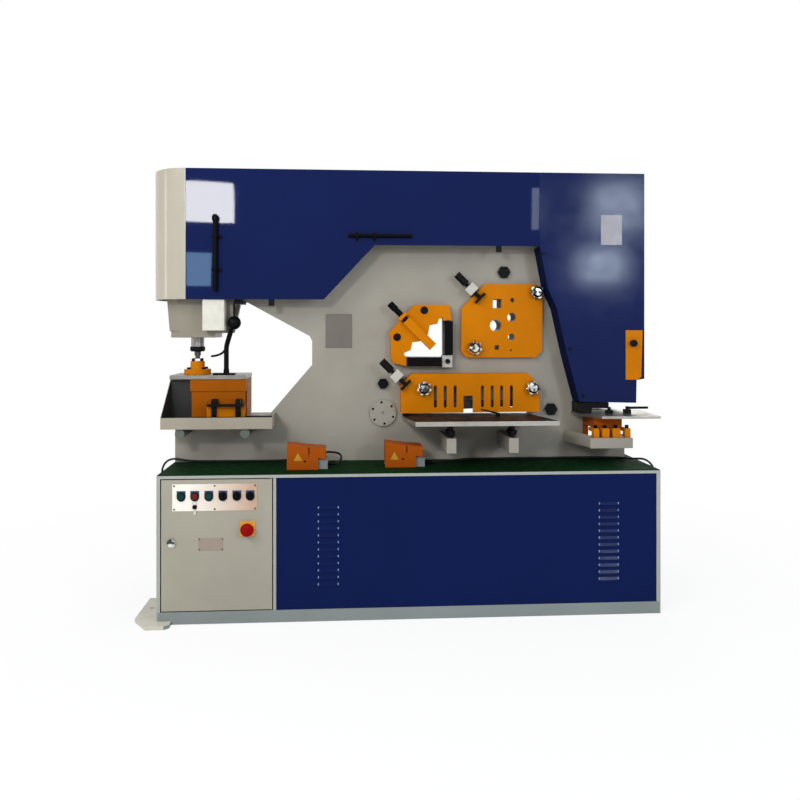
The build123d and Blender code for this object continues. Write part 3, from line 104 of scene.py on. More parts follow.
class Finish:
    """A material being wired: the shader, and short ways to add what feeds it."""

    def __init__(self, name, metallic=0.0, specular=0.5):
        self.material = bpy.data.materials.new(name)
        self.material.use_nodes = True
        self.nodes = self.material.node_tree.nodes
        self.links = self.material.node_tree.links
        self.shader = self.nodes["Principled BSDF"]
        self.shader.inputs["Metallic"].default_value = metallic
        self.shader.inputs["Specular IOR Level"].default_value = specular
        self.place = self.nodes.new("ShaderNodeTexCoord").outputs["Object"]

    def stretched(self, scale):
        """The object's own coordinates, stretched by three factors."""
        mapping = self.nodes.new("ShaderNodeMapping")
        mapping.inputs["Scale"].default_value = scale
        self.links.new(self.place, mapping.inputs["Vector"])
        return mapping.outputs["Vector"]

    def noise(self, scale, detail=3.0, stretch=None):
        """Cloudy noise between 0 and 1."""
        noise = self.nodes.new("ShaderNodeTexNoise")
        noise.inputs["Scale"].default_value = scale
        noise.inputs["Detail"].default_value = detail
        source = self.stretched(stretch) if stretch else self.place
        self.links.new(source, noise.inputs["Vector"])
        return noise.outputs["Fac"]

    def bands(self, scale, direction):
        """Straight ribs along one direction."""
        wave = self.nodes.new("ShaderNodeTexWave")
        wave.wave_type = "BANDS"
        wave.bands_direction = direction
        wave.inputs["Scale"].default_value = scale
        self.links.new(self.place, wave.inputs["Vector"])
        return wave.outputs["Fac"]

    def along(self, axis, start, end):
        """0 to 1 along one axis of the object, between two places."""
        parts = self.nodes.new("ShaderNodeSeparateXYZ")
        self.links.new(self.place, parts.inputs["Vector"])
        spread = self.nodes.new("ShaderNodeMapRange")
        spread.inputs["From Min"].default_value = start
        spread.inputs["From Max"].default_value = end
        self.links.new(parts.outputs[axis], spread.inputs["Value"])
        return spread.outputs["Result"]

    def ramp(self, source, low, high, dark, light):
        """Turns a value into a colour between two, over part of its range."""
        ramp = self.nodes.new("ShaderNodeValToRGB")
        ramp.color_ramp.elements[0].position = low
        ramp.color_ramp.elements[1].position = high
        ramp.color_ramp.elements[0].color = (*dark, 1.0)
        ramp.color_ramp.elements[1].color = (*light, 1.0)
        self.links.new(source, ramp.inputs["Fac"])
        return ramp.outputs["Color"]

    def tones(self, source, low, high, colour, dark, light):
        """A colour between its darker and its lighter tone, given by two factors."""
        return self.ramp(source, low, high, shade(colour, dark), shade(colour, light))

    def layered(self, under, over, mask):
        """One colour laid over another where the mask is high."""
        mix = self.nodes.new("ShaderNodeMix")
        mix.data_type = "RGBA"
        self.links.new(mask, mix.inputs[MIX_SHARE])
        self.links.new(under, mix.inputs[MIX_UNDER])
        self.links.new(over, mix.inputs[MIX_OVER])
        return mix.outputs[MIX_RESULT]

    def colour(self, source):
        """Sends a colour to the shader."""
        self.links.new(source, self.shader.inputs["Base Color"])

    def roughness(self, source, smooth, rough):
        """Roughness that wanders between two values."""
        spread = self.nodes.new("ShaderNodeMapRange")
        spread.inputs["From Min"].default_value = 0.3
        spread.inputs["From Max"].default_value = 0.7
        spread.inputs["To Min"].default_value = smooth
        spread.inputs["To Max"].default_value = rough
        self.links.new(source, spread.inputs["Value"])
        self.links.new(spread.outputs["Result"], self.shader.inputs["Roughness"])

    def relief(self, *layers):
        """Bumps, each given as its source and its height in metres."""
        normal = None
        for source, height in layers:
            bump = self.nodes.new("ShaderNodeBump")
            bump.inputs["Distance"].default_value = height
            self.links.new(source, bump.inputs["Height"])
            if normal:
                self.links.new(normal, bump.inputs["Normal"])
            normal = bump.outputs["Normal"]
        self.links.new(normal, self.shader.inputs["Normal"])


def sheet_paint(name, colour, smooth, rough, specular, dust, waves=0.0004, skin=0.00006):
    """Paint on sheet steel: faint clouding, a skin like orange peel, and dust in soft patches."""
    finish = Finish(name, specular=specular)
    clouds = finish.noise(1.6, 4.0)
    tone = finish.tones(clouds, 0.35, 0.65, colour, 0.92, 1.07)
    dusty = finish.ramp(finish.noise(5.0, 8.0), 0.55, 0.95, grey(0.0), grey(dust))
    pale = finish.ramp(clouds, 0.0, 1.0, (0.34, 0.32, 0.29), (0.4, 0.38, 0.35))
    finish.colour(finish.layered(tone, pale, dusty))
    finish.roughness(finish.noise(14.0, 5.0), smooth, rough)
    finish.relief((finish.noise(1.1, 1.0), waves), (finish.noise(420.0, 2.0), skin))
    return finish.material


def worn(name, colour, scuff, specular):
    """Rough paint whose stains are as strong as the part's use asks for."""
    finish = Finish(name, specular=specular)
    tone = finish.tones(finish.noise(4.0, 6.0), 0.3, 0.7, colour, 0.9, 1.06)
    mask = finish.ramp(finish.noise(9.0, 8.0), 0.58, 0.78, grey(0.0), grey(0.3 * scuff))
    stain = finish.tones(finish.noise(30.0), 0.3, 0.7, colour, 0.4, 0.65)
    finish.colour(finish.layered(tone, stain, mask))
    finish.roughness(finish.noise(20.0, 4.0), 0.34, 0.55)
    finish.relief((finish.noise(90.0, 3.0), 0.0002), (finish.noise(600.0, 2.0), 0.00008))
    return finish.material


def bare_metal(name, colour, smooth, rough, grain=(2.0, 60.0, 60.0)):
    """Bare steel with the grain of grinding, and darker blotches of oil."""
    finish = Finish(name, metallic=1.0)
    lines = finish.noise(12.0, 6.0, grain)
    tone = finish.tones(lines, 0.3, 0.7, colour, 0.78, 1.12)
    oil = finish.ramp(finish.noise(7.0, 5.0), 0.5, 0.72, grey(0.0), grey(0.55))
    dark = finish.tones(lines, 0.2, 0.8, colour, 0.4, 0.6)
    finish.colour(finish.layered(tone, dark, oil))
    finish.roughness(lines, smooth, rough)
    finish.relief((lines, 0.00005))
    return finish.material


def polished(name, colour, patches=55.0):
    """Chrome plate whose colour holds a painted reflection: dark and bright patches that stand for a dark
    workshop.
    """
    finish = Finish(name, metallic=1.0)
    reflection_patches = finish.noise(patches, 2.0)
    finish.colour(finish.tones(reflection_patches, 0.44, 0.58, colour, 0.09, 1.0))
    finish.roughness(reflection_patches, 0.1, 0.22)
    finish.relief((finish.noise(160.0, 2.0), 0.00002))
    return finish.material


def plain_plate(name, colour, smooth, rough):
    """Satin alloy plate, brushed along its length, with a faint haze."""
    finish = Finish(name, metallic=0.85, specular=0.3)
    grain = finish.noise(30.0, 4.0, (1.0, 12.0, 40.0))
    finish.colour(finish.tones(grain, 0.25, 0.75, colour, 0.94, 1.05))
    finish.roughness(finish.noise(14.0, 4.0), smooth, rough)
    finish.relief((grain, 0.00002))
    return finish.material


def shaded_plate(name, left, right, start, end):
    """Brushed plate whose tone changes from its left end to its right end."""
    finish = Finish(name, metallic=0.3, specular=0.3)
    grain = finish.noise(30.0, 4.0, (1.0, 12.0, 40.0))
    across = finish.ramp(finish.along("X", start, end), 0.0, 1.0, left, right)
    brushed = finish.ramp(grain, 0.2, 0.8, shade(right, 0.6), shade(left, 0.9))
    faint = finish.ramp(finish.noise(6.0, 3.0), 0.4, 0.9, grey(0.05), grey(0.3))
    finish.colour(finish.layered(across, brushed, faint))
    finish.roughness(grain, 0.3, 0.42)
    finish.relief((grain, 0.00002))
    return finish.material


def moulded(name, colour, smooth, rough, specular=0.25):
    """Moulded plastic with a fine spark-eroded grain."""
    finish = Finish(name, specular=specular)
    finish.colour(finish.tones(finish.noise(18.0, 4.0), 0.3, 0.7, colour, 0.9, 1.1))
    finish.roughness(finish.noise(60.0, 3.0), smooth, rough)
    finish.relief((finish.noise(900.0, 2.0), 0.00005))
    return finish.material


def ribbed_rubber(name, colour):
    """Bench mat with fine ribs along its length."""
    finish = Finish(name, specular=0.03)
    tone = finish.tones(finish.noise(6.0, 6.0), 0.3, 0.7, colour, 0.75, 1.25)
    ribs = finish.bands(60.0, "Y")
    groove = finish.tones(ribs, 0.1, 0.5, colour, 0.5, 1.1)
    mask = finish.ramp(ribs, 0.0, 0.4, grey(0.6), grey(0.0))
    finish.colour(finish.layered(tone, groove, mask))
    finish.roughness(finish.noise(30.0, 4.0), 0.5, 0.75)
    finish.relief((ribs, 0.0008), (finish.noise(300.0, 2.0), 0.0001))
    return finish.material


def cable_skin(name):
    """Black cable sheath, slightly dull where it is handled."""
    finish = Finish(name, specular=0.18)
    wear = finish.noise(35.0, 5.0)
    finish.colour(finish.ramp(wear, 0.35, 0.75, (0.006, 0.006, 0.0065), (0.018, 0.0175, 0.016)))
    finish.roughness(wear, 0.35, 0.6)
    finish.relief((finish.noise(500.0, 2.0), 0.00006))
    return finish.material


NAVY = (0.002, 0.0082, 0.059)
CREAM = (0.40, 0.36, 0.285)
# Darker cream of the punch head: a shaded copy of the cover's cream, painted shade
SHADED_HEAD_CREAM = (0.25, 0.225, 0.172)
BEIGE = (0.30, 0.274, 0.226)
CABINET_GREY = (0.215, 0.238, 0.226)
RAIL_GREY = (0.34, 0.345, 0.31)
LUG_CREAM = (0.56, 0.53, 0.44)
DOOR_GREY = (0.335, 0.31, 0.245)
TRAY_GREY = (0.31, 0.272, 0.212)
PALE_GREY = (0.46, 0.44, 0.385)
AMBER = (0.53, 0.162, 0.0015)
# Darker amber of the bolster: a shaded copy of the guards' amber, painted shade
SHADED_AMBER = (0.31, 0.078, 0.002)
PEDAL_ORANGE = (0.34, 0.068, 0.003)
BLACK = (0.003, 0.003, 0.0033)

paint_blue = sheet_paint("cover_blue", NAVY, 0.02, 0.03, specular=0.1, dust=0.0, waves=0.004,
                         skin=0.000004)
paint_soft = sheet_paint("right_cover_blue", NAVY, 0.1, 0.16, specular=0.12, dust=0.0, waves=0.0006,
                         skin=0.00002)
# Darker, duller blue of the right cover's slanted return: painted shade
return_painted_shade = sheet_paint("return_blue_painted_shade", shade(NAVY, 0.6), 0.5, 0.7, specular=0.03, dust=0.0)
paint_panel = sheet_paint("panel_blue", NAVY, 0.16, 0.26, specular=0.06, dust=0.0)
paint_cream = sheet_paint("cover_cream", CREAM, 0.12, 0.18, specular=0.4, dust=0.0, waves=0.0001,
                          skin=0.00001)
head_painted_shade = sheet_paint("head_cream_painted_shade", SHADED_HEAD_CREAM, 0.28, 0.4, specular=0.15, dust=0.03)
paint_frame = worn("frame_beige", BEIGE, 0.35, specular=0.18)
paint_cabinet = sheet_paint("cabinet_grey", CABINET_GREY, 0.34, 0.48, specular=0.16, dust=0.06)
paint_lug = worn("lug_cream", LUG_CREAM, 0.6, specular=0.16)
paint_rail = sheet_paint("rail_grey", RAIL_GREY, 0.34, 0.48, specular=0.16, dust=0.06)
paint_door = sheet_paint("door_grey", DOOR_GREY, 0.3, 0.44, specular=0.16, dust=0.05)
paint_stub = worn("stub_grey", (0.11, 0.125, 0.105), 0.6, specular=0.1)
paint_tray = worn("tray_grey", TRAY_GREY, 0.5, specular=0.16)
paint_pale = worn("block_grey", PALE_GREY, 0.4, specular=0.16)
paint_amber = worn("guard_amber", AMBER, 0.4, specular=0.03)
bolster_painted_shade = worn("bolster_amber_painted_shade", SHADED_AMBER, 0.8, specular=0.03)
paint_pedal = worn("pedal_orange", PEDAL_ORANGE, 0.5, specular=0.04)
paint_black = worn("black_paint", BLACK, 0.3, specular=0.04)
steel_black = worn("blacked_steel", (0.0032, 0.0032, 0.0035), 0.6, specular=0.08)
# Dark inside of the chip tray: painted shade
tray_painted_shade = worn("tray_painted_shade", (0.016, 0.015, 0.013), 1.0, specular=0.3)
steel_table = bare_metal("table_steel", (0.22, 0.21, 0.185), 0.3, 0.5)
# Near-black steel: oil stain on the shear table's top, darkened further as painted shade, and painted
# shade inside the shear openings
oil_stain_and_painted_shade = worn("oil_stain_and_painted_shade", (0.008, 0.0075, 0.007), 1.0, specular=0.03)
steel_edge = bare_metal("ground_edge", (0.40, 0.385, 0.345), 0.28, 0.42)
steel_bright = bare_metal("bright_steel", (0.6, 0.585, 0.55), 0.2, 0.34)
steel_tool = bare_metal("tool_steel", (0.12, 0.117, 0.11), 0.3, 0.5, (60.0, 4.0, 60.0))
steel_bolt = bare_metal("bolt_steel", (0.26, 0.25, 0.235), 0.22, 0.4, (20.0, 20.0, 20.0))
steel_dark = bare_metal("dark_steel", (0.07, 0.068, 0.063), 0.28, 0.45, (20.0, 20.0, 20.0))
# The knobs and the lock carry painted reflections in their colour
chrome = polished("knob_chrome", (0.72, 0.72, 0.7))
lock_chrome = polished("lock_chrome", (0.8, 0.79, 0.75), 40.0)
panel_face = shaded_plate("panel_face", (0.92, 0.86, 0.76), (0.52, 0.34, 0.235), -1.02, -0.73)
name_alloy = plain_plate("name_alloy", (0.135, 0.118, 0.105), 0.35, 0.5)
small_alloy = plain_plate("small_alloy", (0.335, 0.27, 0.22), 0.4, 0.55)
plate_pale = moulded("bare_plate", (0.30, 0.29, 0.31), 0.35, 0.5)
plate_yellow = moulded("bare_yellow", (0.42, 0.22, 0.012), 0.35, 0.5)
plastic_black = moulded("black_plastic", BLACK, 0.3, 0.45, 0.06)
plastic_cream = moulded("cream_plastic", (0.60, 0.575, 0.49), 0.35, 0.5)
plastic_green = moulded("green_cap", (0.003, 0.034, 0.032), 0.25, 0.4, 0.12)
plastic_red = moulded("red_cap", (0.10, 0.010, 0.007), 0.25, 0.4, 0.12)
mushroom_red = moulded("mushroom_red", (0.235, 0.0015, 0.001), 0.45, 0.6, 0.05)
key_card = moulded("key_tag", (0.55, 0.50, 0.38), 0.4, 0.55)
# Pale blue of the louvres' ends: a painted highlight
louvre_painted_highlight = moulded("louvre_painted_highlight", (0.16, 0.22, 0.36), 0.2, 0.35, 0.5)
plastic_yellow = moulded("yellow_base", (0.62, 0.30, 0.045), 0.3, 0.45)
legend_blue = moulded("legend_blue", (0.022, 0.055, 0.115), 0.3, 0.45)
mat_green = ribbed_rubber("bench_mat_green", (0.0022, 0.021, 0.0045))
cable_black = cable_skin("cable_sheath")


# Cables of the foot pedals, which are laid before anything else

CABLE_RADIUS = 0.005

LEFT_ROUTE = [
    (-0.385, -0.281, 0.684), (-0.354, -0.281, 0.684), (-0.330, -0.262, 0.700),
    (-0.330, -0.226, 0.718), (-0.358, -0.196, 0.726), (-0.404, -0.172, 0.724),
    (-0.460, -0.146, 0.710), (-0.530, -0.118, 0.690), (-0.610, -0.100, 0.6733),
    (-0.720, -0.099, 0.6723), (-0.840, -0.095, 0.6728), (-1.040, -0.098, 0.6733),
    (-1.098, -0.095, 0.679), (-1.148, -0.090, 0.688), (-1.189, -0.084, 0.672),
    (-1.210, -0.078, 0.630), (-1.204, -0.070, 0.578), (-1.204, -0.070, 0.520),
]

RIGHT_ROUTE = [
    (0.073, -0.244, 0.684), (0.112, -0.244, 0.684), (0.154, -0.222, 0.681),
    (0.192, -0.178, 0.676), (0.240, -0.130, 0.6723), (0.310, -0.108, 0.6728),
    (0.420, -0.100, 0.6723), (0.560, -0.096, 0.6733), (0.710, -0.099, 0.6723),
    (0.840, -0.095, 0.6728), (1.024, -0.106, 0.6728), (1.074, -0.134, 0.6743),
    (1.096, -0.184, 0.677), (1.114, -0.234, 0.686), (1.140, -0.274, 0.690),
    (1.168, -0.298, 0.664), (1.180, -0.302, 0.616), (1.178, -0.290, 0.566),
    (1.178, -0.290, 0.510),
]


def finish_piece(piece, material, body="frame"):
    """Gives a new piece its material and its body."""
    piece.data.materials.append(material)
    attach(piece, body)
    return piece


def lay_cable(name, route, node):
    """A cable as one smooth curve along its route."""
    curve = bpy.data.curves.new(name, "CURVE")
    curve.dimensions = "3D"
    curve.bevel_depth = CABLE_RADIUS
    curve.bevel_resolution = 5
    curve.resolution_u = 10
    curve.use_fill_caps = True
    spline = curve.splines.new("NURBS")
    spline.points.add(len(route) - 1)
    for point, place in zip(spline.points, route):
        point.co = (*place, 1.0)
    spline.order_u = 3
    spline.use_endpoint_u = True
    piece = linked(name, curve)
    finish_piece(piece, cable_black)
    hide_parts(node)
    return piece


def mesh_object(name, shape, smooth, sharp):
    """Turns a bmesh into an object; edges beyond an angle in degrees stay sharp."""
    for face in shape.faces:
        face.smooth = smooth
    for edge in shape.edges:
        if len(edge.link_faces) == 2:
            edge.smooth = edge.calc_face_angle() < radians(sharp)
    mesh = bpy.data.meshes.new(name)
    shape.to_mesh(mesh)
    shape.free()
    return linked(name, mesh)


def new_piece(name, shape, material, body="frame"):
    """A piece made here, smooth but for its sharper edges."""
    bmesh.ops.recalc_face_normals(shape, faces=shape.faces)
    return finish_piece(mesh_object(name, shape, True, 35.0), material, body)


FORWARD = Vector((0.0, -1.0, 0.0))
RIGHTWARD = Vector((1.0, 0.0, 0.0))
UPWARD = Vector((0.0, 0.0, 1.0))


def placed(centre, direction):
    """The move that brings the origin to a point and the Z axis to a direction."""
    turn = UPWARD.rotation_difference(direction).to_matrix().to_4x4()
    return Matrix.Translation(centre) @ turn


def spun(profile, axis, centre, steps):
    """A turned form: radius and height pairs, spun about an axis through the centre."""
    shape = bmesh.new()
    verts = [shape.verts.new((radius, 0.0, height)) for radius, height in profile]
    edges = [shape.edges.new(pair) for pair in zip(verts, verts[1:])]
    bmesh.ops.spin(
        shape, geom=verts + edges, cent=(0.0, 0.0, 0.0), axis=UPWARD,
        angle=2.0 * pi, steps=steps, use_merge=True, use_duplicate=False,
    )
    bmesh.ops.remove_doubles(shape, verts=shape.verts, dist=1e-6)
    bmesh.ops.transform(shape, matrix=placed(centre, axis), verts=shape.verts)
    return shape


SLEEVE_LENGTH = 0.030
SLEEVE_BORE = 0.0051
SLEEVE_RADIUS = 0.0088
SLEEVE_TAPER = 0.0026
SLEEVE_RIBS = 5
RIB_HEIGHT = 0.0012


def strain_relief(name, start):
    """Ribbed rubber sleeve that tapers along the first part of a cable."""
    pitch = 0.84 * SLEEVE_LENGTH / SLEEVE_RIBS
    profile = [(SLEEVE_BORE, 0.0), (SLEEVE_RADIUS, 0.0)]
    for rib in range(SLEEVE_RIBS):
        low = 0.08 * SLEEVE_LENGTH + pitch * rib
        high = low + 0.55 * pitch
        wide = SLEEVE_RADIUS - SLEEVE_TAPER * rib / SLEEVE_RIBS
        neck = wide - RIB_HEIGHT
        profile += [(wide, low), (wide, high), (neck, high), (neck, high + 0.001)]
    profile += [(0.0058, SLEEVE_LENGTH), (SLEEVE_BORE, SLEEVE_LENGTH)]
    return new_piece(name, spun(profile, RIGHTWARD, start, 20), plastic_black)


left_cable = lay_cable("left_cable", LEFT_ROUTE, "left_pedal_cable")
right_cable = lay_cable("right_cable", RIGHT_ROUTE, "right_pedal_cable")
left_sleeve = strain_relief("left_sleeve", LEFT_ROUTE[0])
right_sleeve = strain_relief("right_sleeve", RIGHT_ROUTE[0])


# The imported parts, with their edges eased

SHARP_DEGREES = 32.0


def eased(node, material, width):
    """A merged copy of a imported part, its sharp edges rounded over; flat sheets keep width 0."""
    source = NODES[node]
    shape = bmesh.new()
    shape.from_mesh(source.data)
    bmesh.ops.remove_doubles(shape, verts=shape.verts, dist=2e-6)
    bmesh.ops.dissolve_limit(
        shape, angle_limit=radians(0.6), use_dissolve_boundaries=False,
        verts=shape.verts, edges=shape.edges, delimit=set(),
    )
    piece = mesh_object(node + "_eased", shape, width > 0.0, SHARP_DEGREES)
    if width:
        bevel = piece.modifiers.new("eased", "BEVEL")
        bevel.width = width
        bevel.segments = 2
        bevel.limit_method = "ANGLE"
        bevel.angle_limit = radians(SHARP_DEGREES)
        bevel.harden_normals = True
        bevel.use_clamp_overlap = True
    finish_piece(piece, material, source["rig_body"])
    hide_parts(node)
    return piece


def recolour(piece, material, inside):
    """Gives another material to the faces whose middle passes a test, in metres."""
    piece.data.materials.append(material)
    index = len(piece.data.materials) - 1
    for face in piece.data.polygons:
        if inside(face.center):
            face.material_index = index


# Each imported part: its material, and how far its edges are rounded
PAINTED = {
    "upper_cover": (paint_blue, 0.0015),
    "right_cover": (paint_soft, 0.0015),
    "service_panel": (paint_panel, 0.0),
    "punch_cover": (paint_cream, 0.0012),
    "punch_cylinder": (head_painted_shade, 0.004),
    "front_frame_plate": (paint_frame, 0.0015),
    "rear_frame_plate": (paint_frame, 0.0015),
    "shear_beam": (steel_dark, 0.001),
    "shear_cylinder": (paint_frame, 0.002),
    "base_cabinet": (paint_cabinet, 0.0),
    "cabinet_door": (paint_door, 0.0012),
    "chip_tray": (paint_tray, 0.0008),
    "table_arms": (paint_frame, 0.002),
    "pivot_pin": (paint_frame, 0.0012),
    "bolster": (bolster_painted_shade, 0.0025),
    "angle_plate": (paint_amber, 0.0025),
    "bar_plate": (paint_amber, 0.0025),
    "flat_guard": (paint_amber, 0.002),
    "side_guard": (paint_amber, 0.001),
    "die_holder": (paint_amber, 0.0015),
    "notcher_clamps": (paint_amber, 0.002),
    "notcher_die": (paint_pedal, 0.002),
    "notcher_bracket": (paint_frame, 0.001),
    "angle_hold_down": (paint_amber, 0.0015),
    "foot_pedal_housings": (paint_pedal, 0.002),
    "left_pedal": (paint_black, 0.0008),
    "right_pedal": (paint_black, 0.0008),
    "hold_down_blocks": (paint_pale, 0.002),
    "bar_hold_down": (steel_black, 0.001),
    "flat_hold_down": (steel_black, 0.001),
    "fixed_blades": (steel_tool, 0.001),
    "moving_blades": (steel_tool, 0.0008),
    "shear_piston_rod": (steel_bright, 0.001),
    "punch_ram": (steel_bolt, 0.0012),
    "punch_tooling": (steel_black, 0.001),
    "punch_table": (steel_table, 0.0015),
    "shear_table": (steel_table, 0.0015),
    "notcher_table": (steel_edge, 0.0012),
    "bench_mat": (mat_green, 0.001),
    "switch_box": (plastic_cream, 0.0015),
    "stroke_rod": (paint_black, 0.0006),
    "gauge_rod_and_clips": (paint_black, 0.0006),
    "table_fittings": (steel_black, 0.001),
    "work_lamp": (plastic_black, 0.001),
    "frame_bolts": (steel_black, 0.0008),
    "control_panel": (panel_face, 0.0004),
    "door_lock": (lock_chrome, 0.0006),
    "emergency_stop": (mushroom_red, 0.001),
    "start_button": (plastic_green, 0.0006),
    "stop_button": (plastic_red, 0.0006),
    "jog_button": (plastic_green, 0.0006),
    "pump_selector": (plastic_black, 0.0006),
    "mode_selector": (plastic_black, 0.0006),
    "side_selector": (plastic_black, 0.0006),
    "bar_knob_upper": (chrome, 0.002),
    "bar_knob_lower": (chrome, 0.002),
    "guard_knob_left": (chrome, 0.002),
    "guard_knob_right": (chrome, 0.002),
}

parts = {node: eased(node, material, width) for node, (material, width) in PAINTED.items()}


def within(low, high):
    """A test for points inside a box, in metres."""
    return lambda place: all(a <= value <= b for a, value, b in zip(low, place, high))


def round_y(x, z, reach, front, back):
    """A test for points near an axis along Y, between two depths."""
    def near(place):
        flat = (place.x - x) ** 2 + (place.z - z) ** 2
        return flat < reach ** 2 and front <= place.y <= back
    return near


GUIDE_TIP_X = 0.120
GUIDE_TIP_Z = 1.232
HALF_ROOT = 0.7071


def along_guide(place):
    """How far a point lies from the angle guide's tip, up the line that it slides on."""
    return (GUIDE_TIP_X - place.x + place.z - GUIDE_TIP_Z) * HALF_ROOT


def colour_frame_pieces():
    """Plates, screws, rests and blades that share a part with pieces of another colour, and faces painted
    dark as painted shade.
    """
    recolour(parts["frame_bolts"], name_alloy, within((-0.42, -0.08, 1.22), (-0.27, -0.0755, 1.40)))
    recolour(parts["frame_bolts"], paint_cabinet, lambda place: place.z < 0.6)
    recolour(parts["fixed_blades"], paint_black, lambda place: place.y < -0.0755 and place.z > 1.1)
    corner = within((0.166, -0.116, 1.12), (0.222, -0.1145, 1.20))
    recolour(parts["fixed_blades"], paint_pale, corner)
    for x, z in ((0.079, 1.413), (-0.056, 1.280)):
        recolour(parts["angle_plate"], steel_black, round_y(x, z, 0.021, -0.13, -0.1202))
    recolour(parts["angle_hold_down"], paint_black, lambda place: along_guide(place) > 0.187)
    recolour(parts["side_guard"], plastic_black, round_y(1.103, 1.250, 0.02, -0.24, -0.2062))
    recolour(parts["notcher_clamps"], paint_black, lambda place: place.z > 0.8422)
    recolour(parts["shear_table"], steel_edge, lambda place: 0.8745 < place.z < 0.8955)
    # The shear table's top: oil stain, and painted shade from the guard above it
    recolour(parts["shear_table"], oil_stain_and_painted_shade, lambda place: place.z > 0.8955)
    # The right cover's return strip along its slanted edge takes the darker blue as painted shade
    recolour(parts["right_cover"], return_painted_shade, lambda place: (
        0.076 < abs(place.y) < 0.196 and place.x < 0.86 and 0.95 < place.z < 1.73))
    recolour(parts["base_cabinet"], paint_rail, lambda place: place.y < -0.4395 and place.z > 0.056)
    recolour(parts["base_cabinet"], paint_lug, lambda place: place.z < 0.0165 and abs(place.x) > 1.14)
    # Faces inside the shear openings of both frame plates are painted near black as painted shade
    for plate in ("front_frame_plate", "rear_frame_plate"):
        recolour(parts[plate], oil_stain_and_painted_shade, lambda place: (
            0.041 < abs(place.y) < 0.074 and -0.07 < place.x < 0.6 and 0.84 < place.z < 1.5))
    # The blades seen through the openings are painted near black as painted shade
    for blades in ("fixed_blades", "moving_blades"):
        recolour(parts[blades], oil_stain_and_painted_shade, lambda place: (
            0.395 < place.x < 0.565 and 1.195 < place.z < 1.485))
    recolour(parts["chip_tray"], paint_stub, lambda place: place.z < 0.8519 and place.y > -0.279)
    # The bolster is painted in the darker amber as painted shade; this strip of its front face keeps the
    # plain amber
    recolour(parts["bolster"], paint_amber, within((-0.98, -0.161, 0.89), (-0.79, -0.159, 0.95)))
    # The inside of the chip tray is painted dark as painted shade
    tray = within((-1.1655, -0.2875, 0.8545), (-0.6545, -0.0775, 1.08))
    recolour(parts["chip_tray"], tray_painted_shade, tray)


PUNCH_X = -1.05


def off_axis(place):
    """How far a point lies from the punch's axis, seen from above."""
    return ((place.x - PUNCH_X) ** 2 + place.y ** 2) ** 0.5


def colour_punch_station():
    """Screws, die and punch, which are darker or brighter than what holds them."""
    recolour(parts["die_holder"], paint_black, lambda place: place.z > 1.1605)
    recolour(parts["die_holder"], paint_black,
             lambda place: off_axis(place) > 0.041 and 1.1215 < place.z < 1.132)
    recolour(parts["die_holder"], steel_bright, lambda place: off_axis(place) < 0.0243)
    recolour(parts["punch_tooling"], steel_dark, lambda place: place.z < 1.2078)


# The left end and the front of each pedal's hood
LEFT_PEDAL = (-0.581, -0.339)
RIGHT_PEDAL = (-0.123, -0.302)


def colour_pedals():
    """Grey base plates and boxes of the pedals, and their black glands."""
    housings = parts["foot_pedal_housings"]
    for x, front in (LEFT_PEDAL, RIGHT_PEDAL):
        plate = within((x + 0.001, front + 0.004, 0.66), (x + 0.0962, front + 0.1125, 0.6722))
        recolour(housings, paint_cabinet, plate)
        box = within((x + 0.1452, front + 0.0135, 0.66), (x + 0.1885, front + 0.1025, 0.7125))
        recolour(housings, paint_cabinet, box)
        gland = within((x + 0.1885, front + 0.01, 0.66), (x + 0.2, front + 0.11, 0.72))
        recolour(housings, plastic_black, gland)


def colour_controls():
    """Legend plates, bezels and the yellow base of the emergency stop."""
    panel = parts["control_panel"]
    recolour(panel, legend_blue, within((-1.07, -0.4438, 0.54), (-0.71, -0.4422, 0.61)))
    recolour(panel, plastic_black, within((-1.07, -0.47, 0.54), (-0.71, -0.4438, 0.61)))
    for x in (-1.072, -0.893, -0.714):
        for z in (0.514, 0.618):
            recolour(panel, steel_dark, round_y(x, z, 0.005, -0.4445, -0.4421))
    recolour(panel, small_alloy, within((-0.97, -0.4415, 0.32), (-0.85, -0.4402, 0.39)))
    recolour(panel, plastic_yellow, within((-0.79, -0.47, 0.38), (-0.70, -0.4402, 0.47)))
    recolour(parts["emergency_stop"], plastic_black, lambda place: place.y > -0.4618)
    recolour(parts["door_lock"], steel_dark, lambda place: place.y > -0.4402)


colour_frame_pieces()
colour_punch_station()
colour_pedals()
colour_controls()


# Small pieces that only the looks need

CORNER_RADIUS = 0.002


def front_plate(name, outline, face, material, body="frame", thick=0.0005):
    """A bare plate lying on a front face, given by its outline in X and Z."""
    shape = bmesh.new()
    back = shape.faces.new([shape.verts.new((x, face, z)) for x, z in outline])
    bmesh.ops.bevel(shape, geom=list(back.verts), offset=CORNER_RADIUS, segments=3, profile=0.5,
                    affect="VERTICES", material=-1)
    made = bmesh.ops.extrude_face_region(shape, geom=list(shape.faces), use_keep_orig=True)
    moved = [item for item in made["geom"] if isinstance(item, bmesh.types.BMVert)]
    bmesh.ops.translate(shape, vec=(0.0, -thick, 0.0), verts=moved)
    new_piece(name, shape, material, body)


def rectangle(x0, x1, z0, z1):
    """Outline of an upright rectangle."""
    return [(x0, z0), (x1, z0), (x1, z1), (x0, z1)]


LOUVRE_COLUMNS = (-0.387, 0.905)
LOUVRE_ROWS = 12
LOUVRE_TOP = 0.5125
LOUVRE_PITCH = 0.0315
LOUVRE_HALF = 0.0445


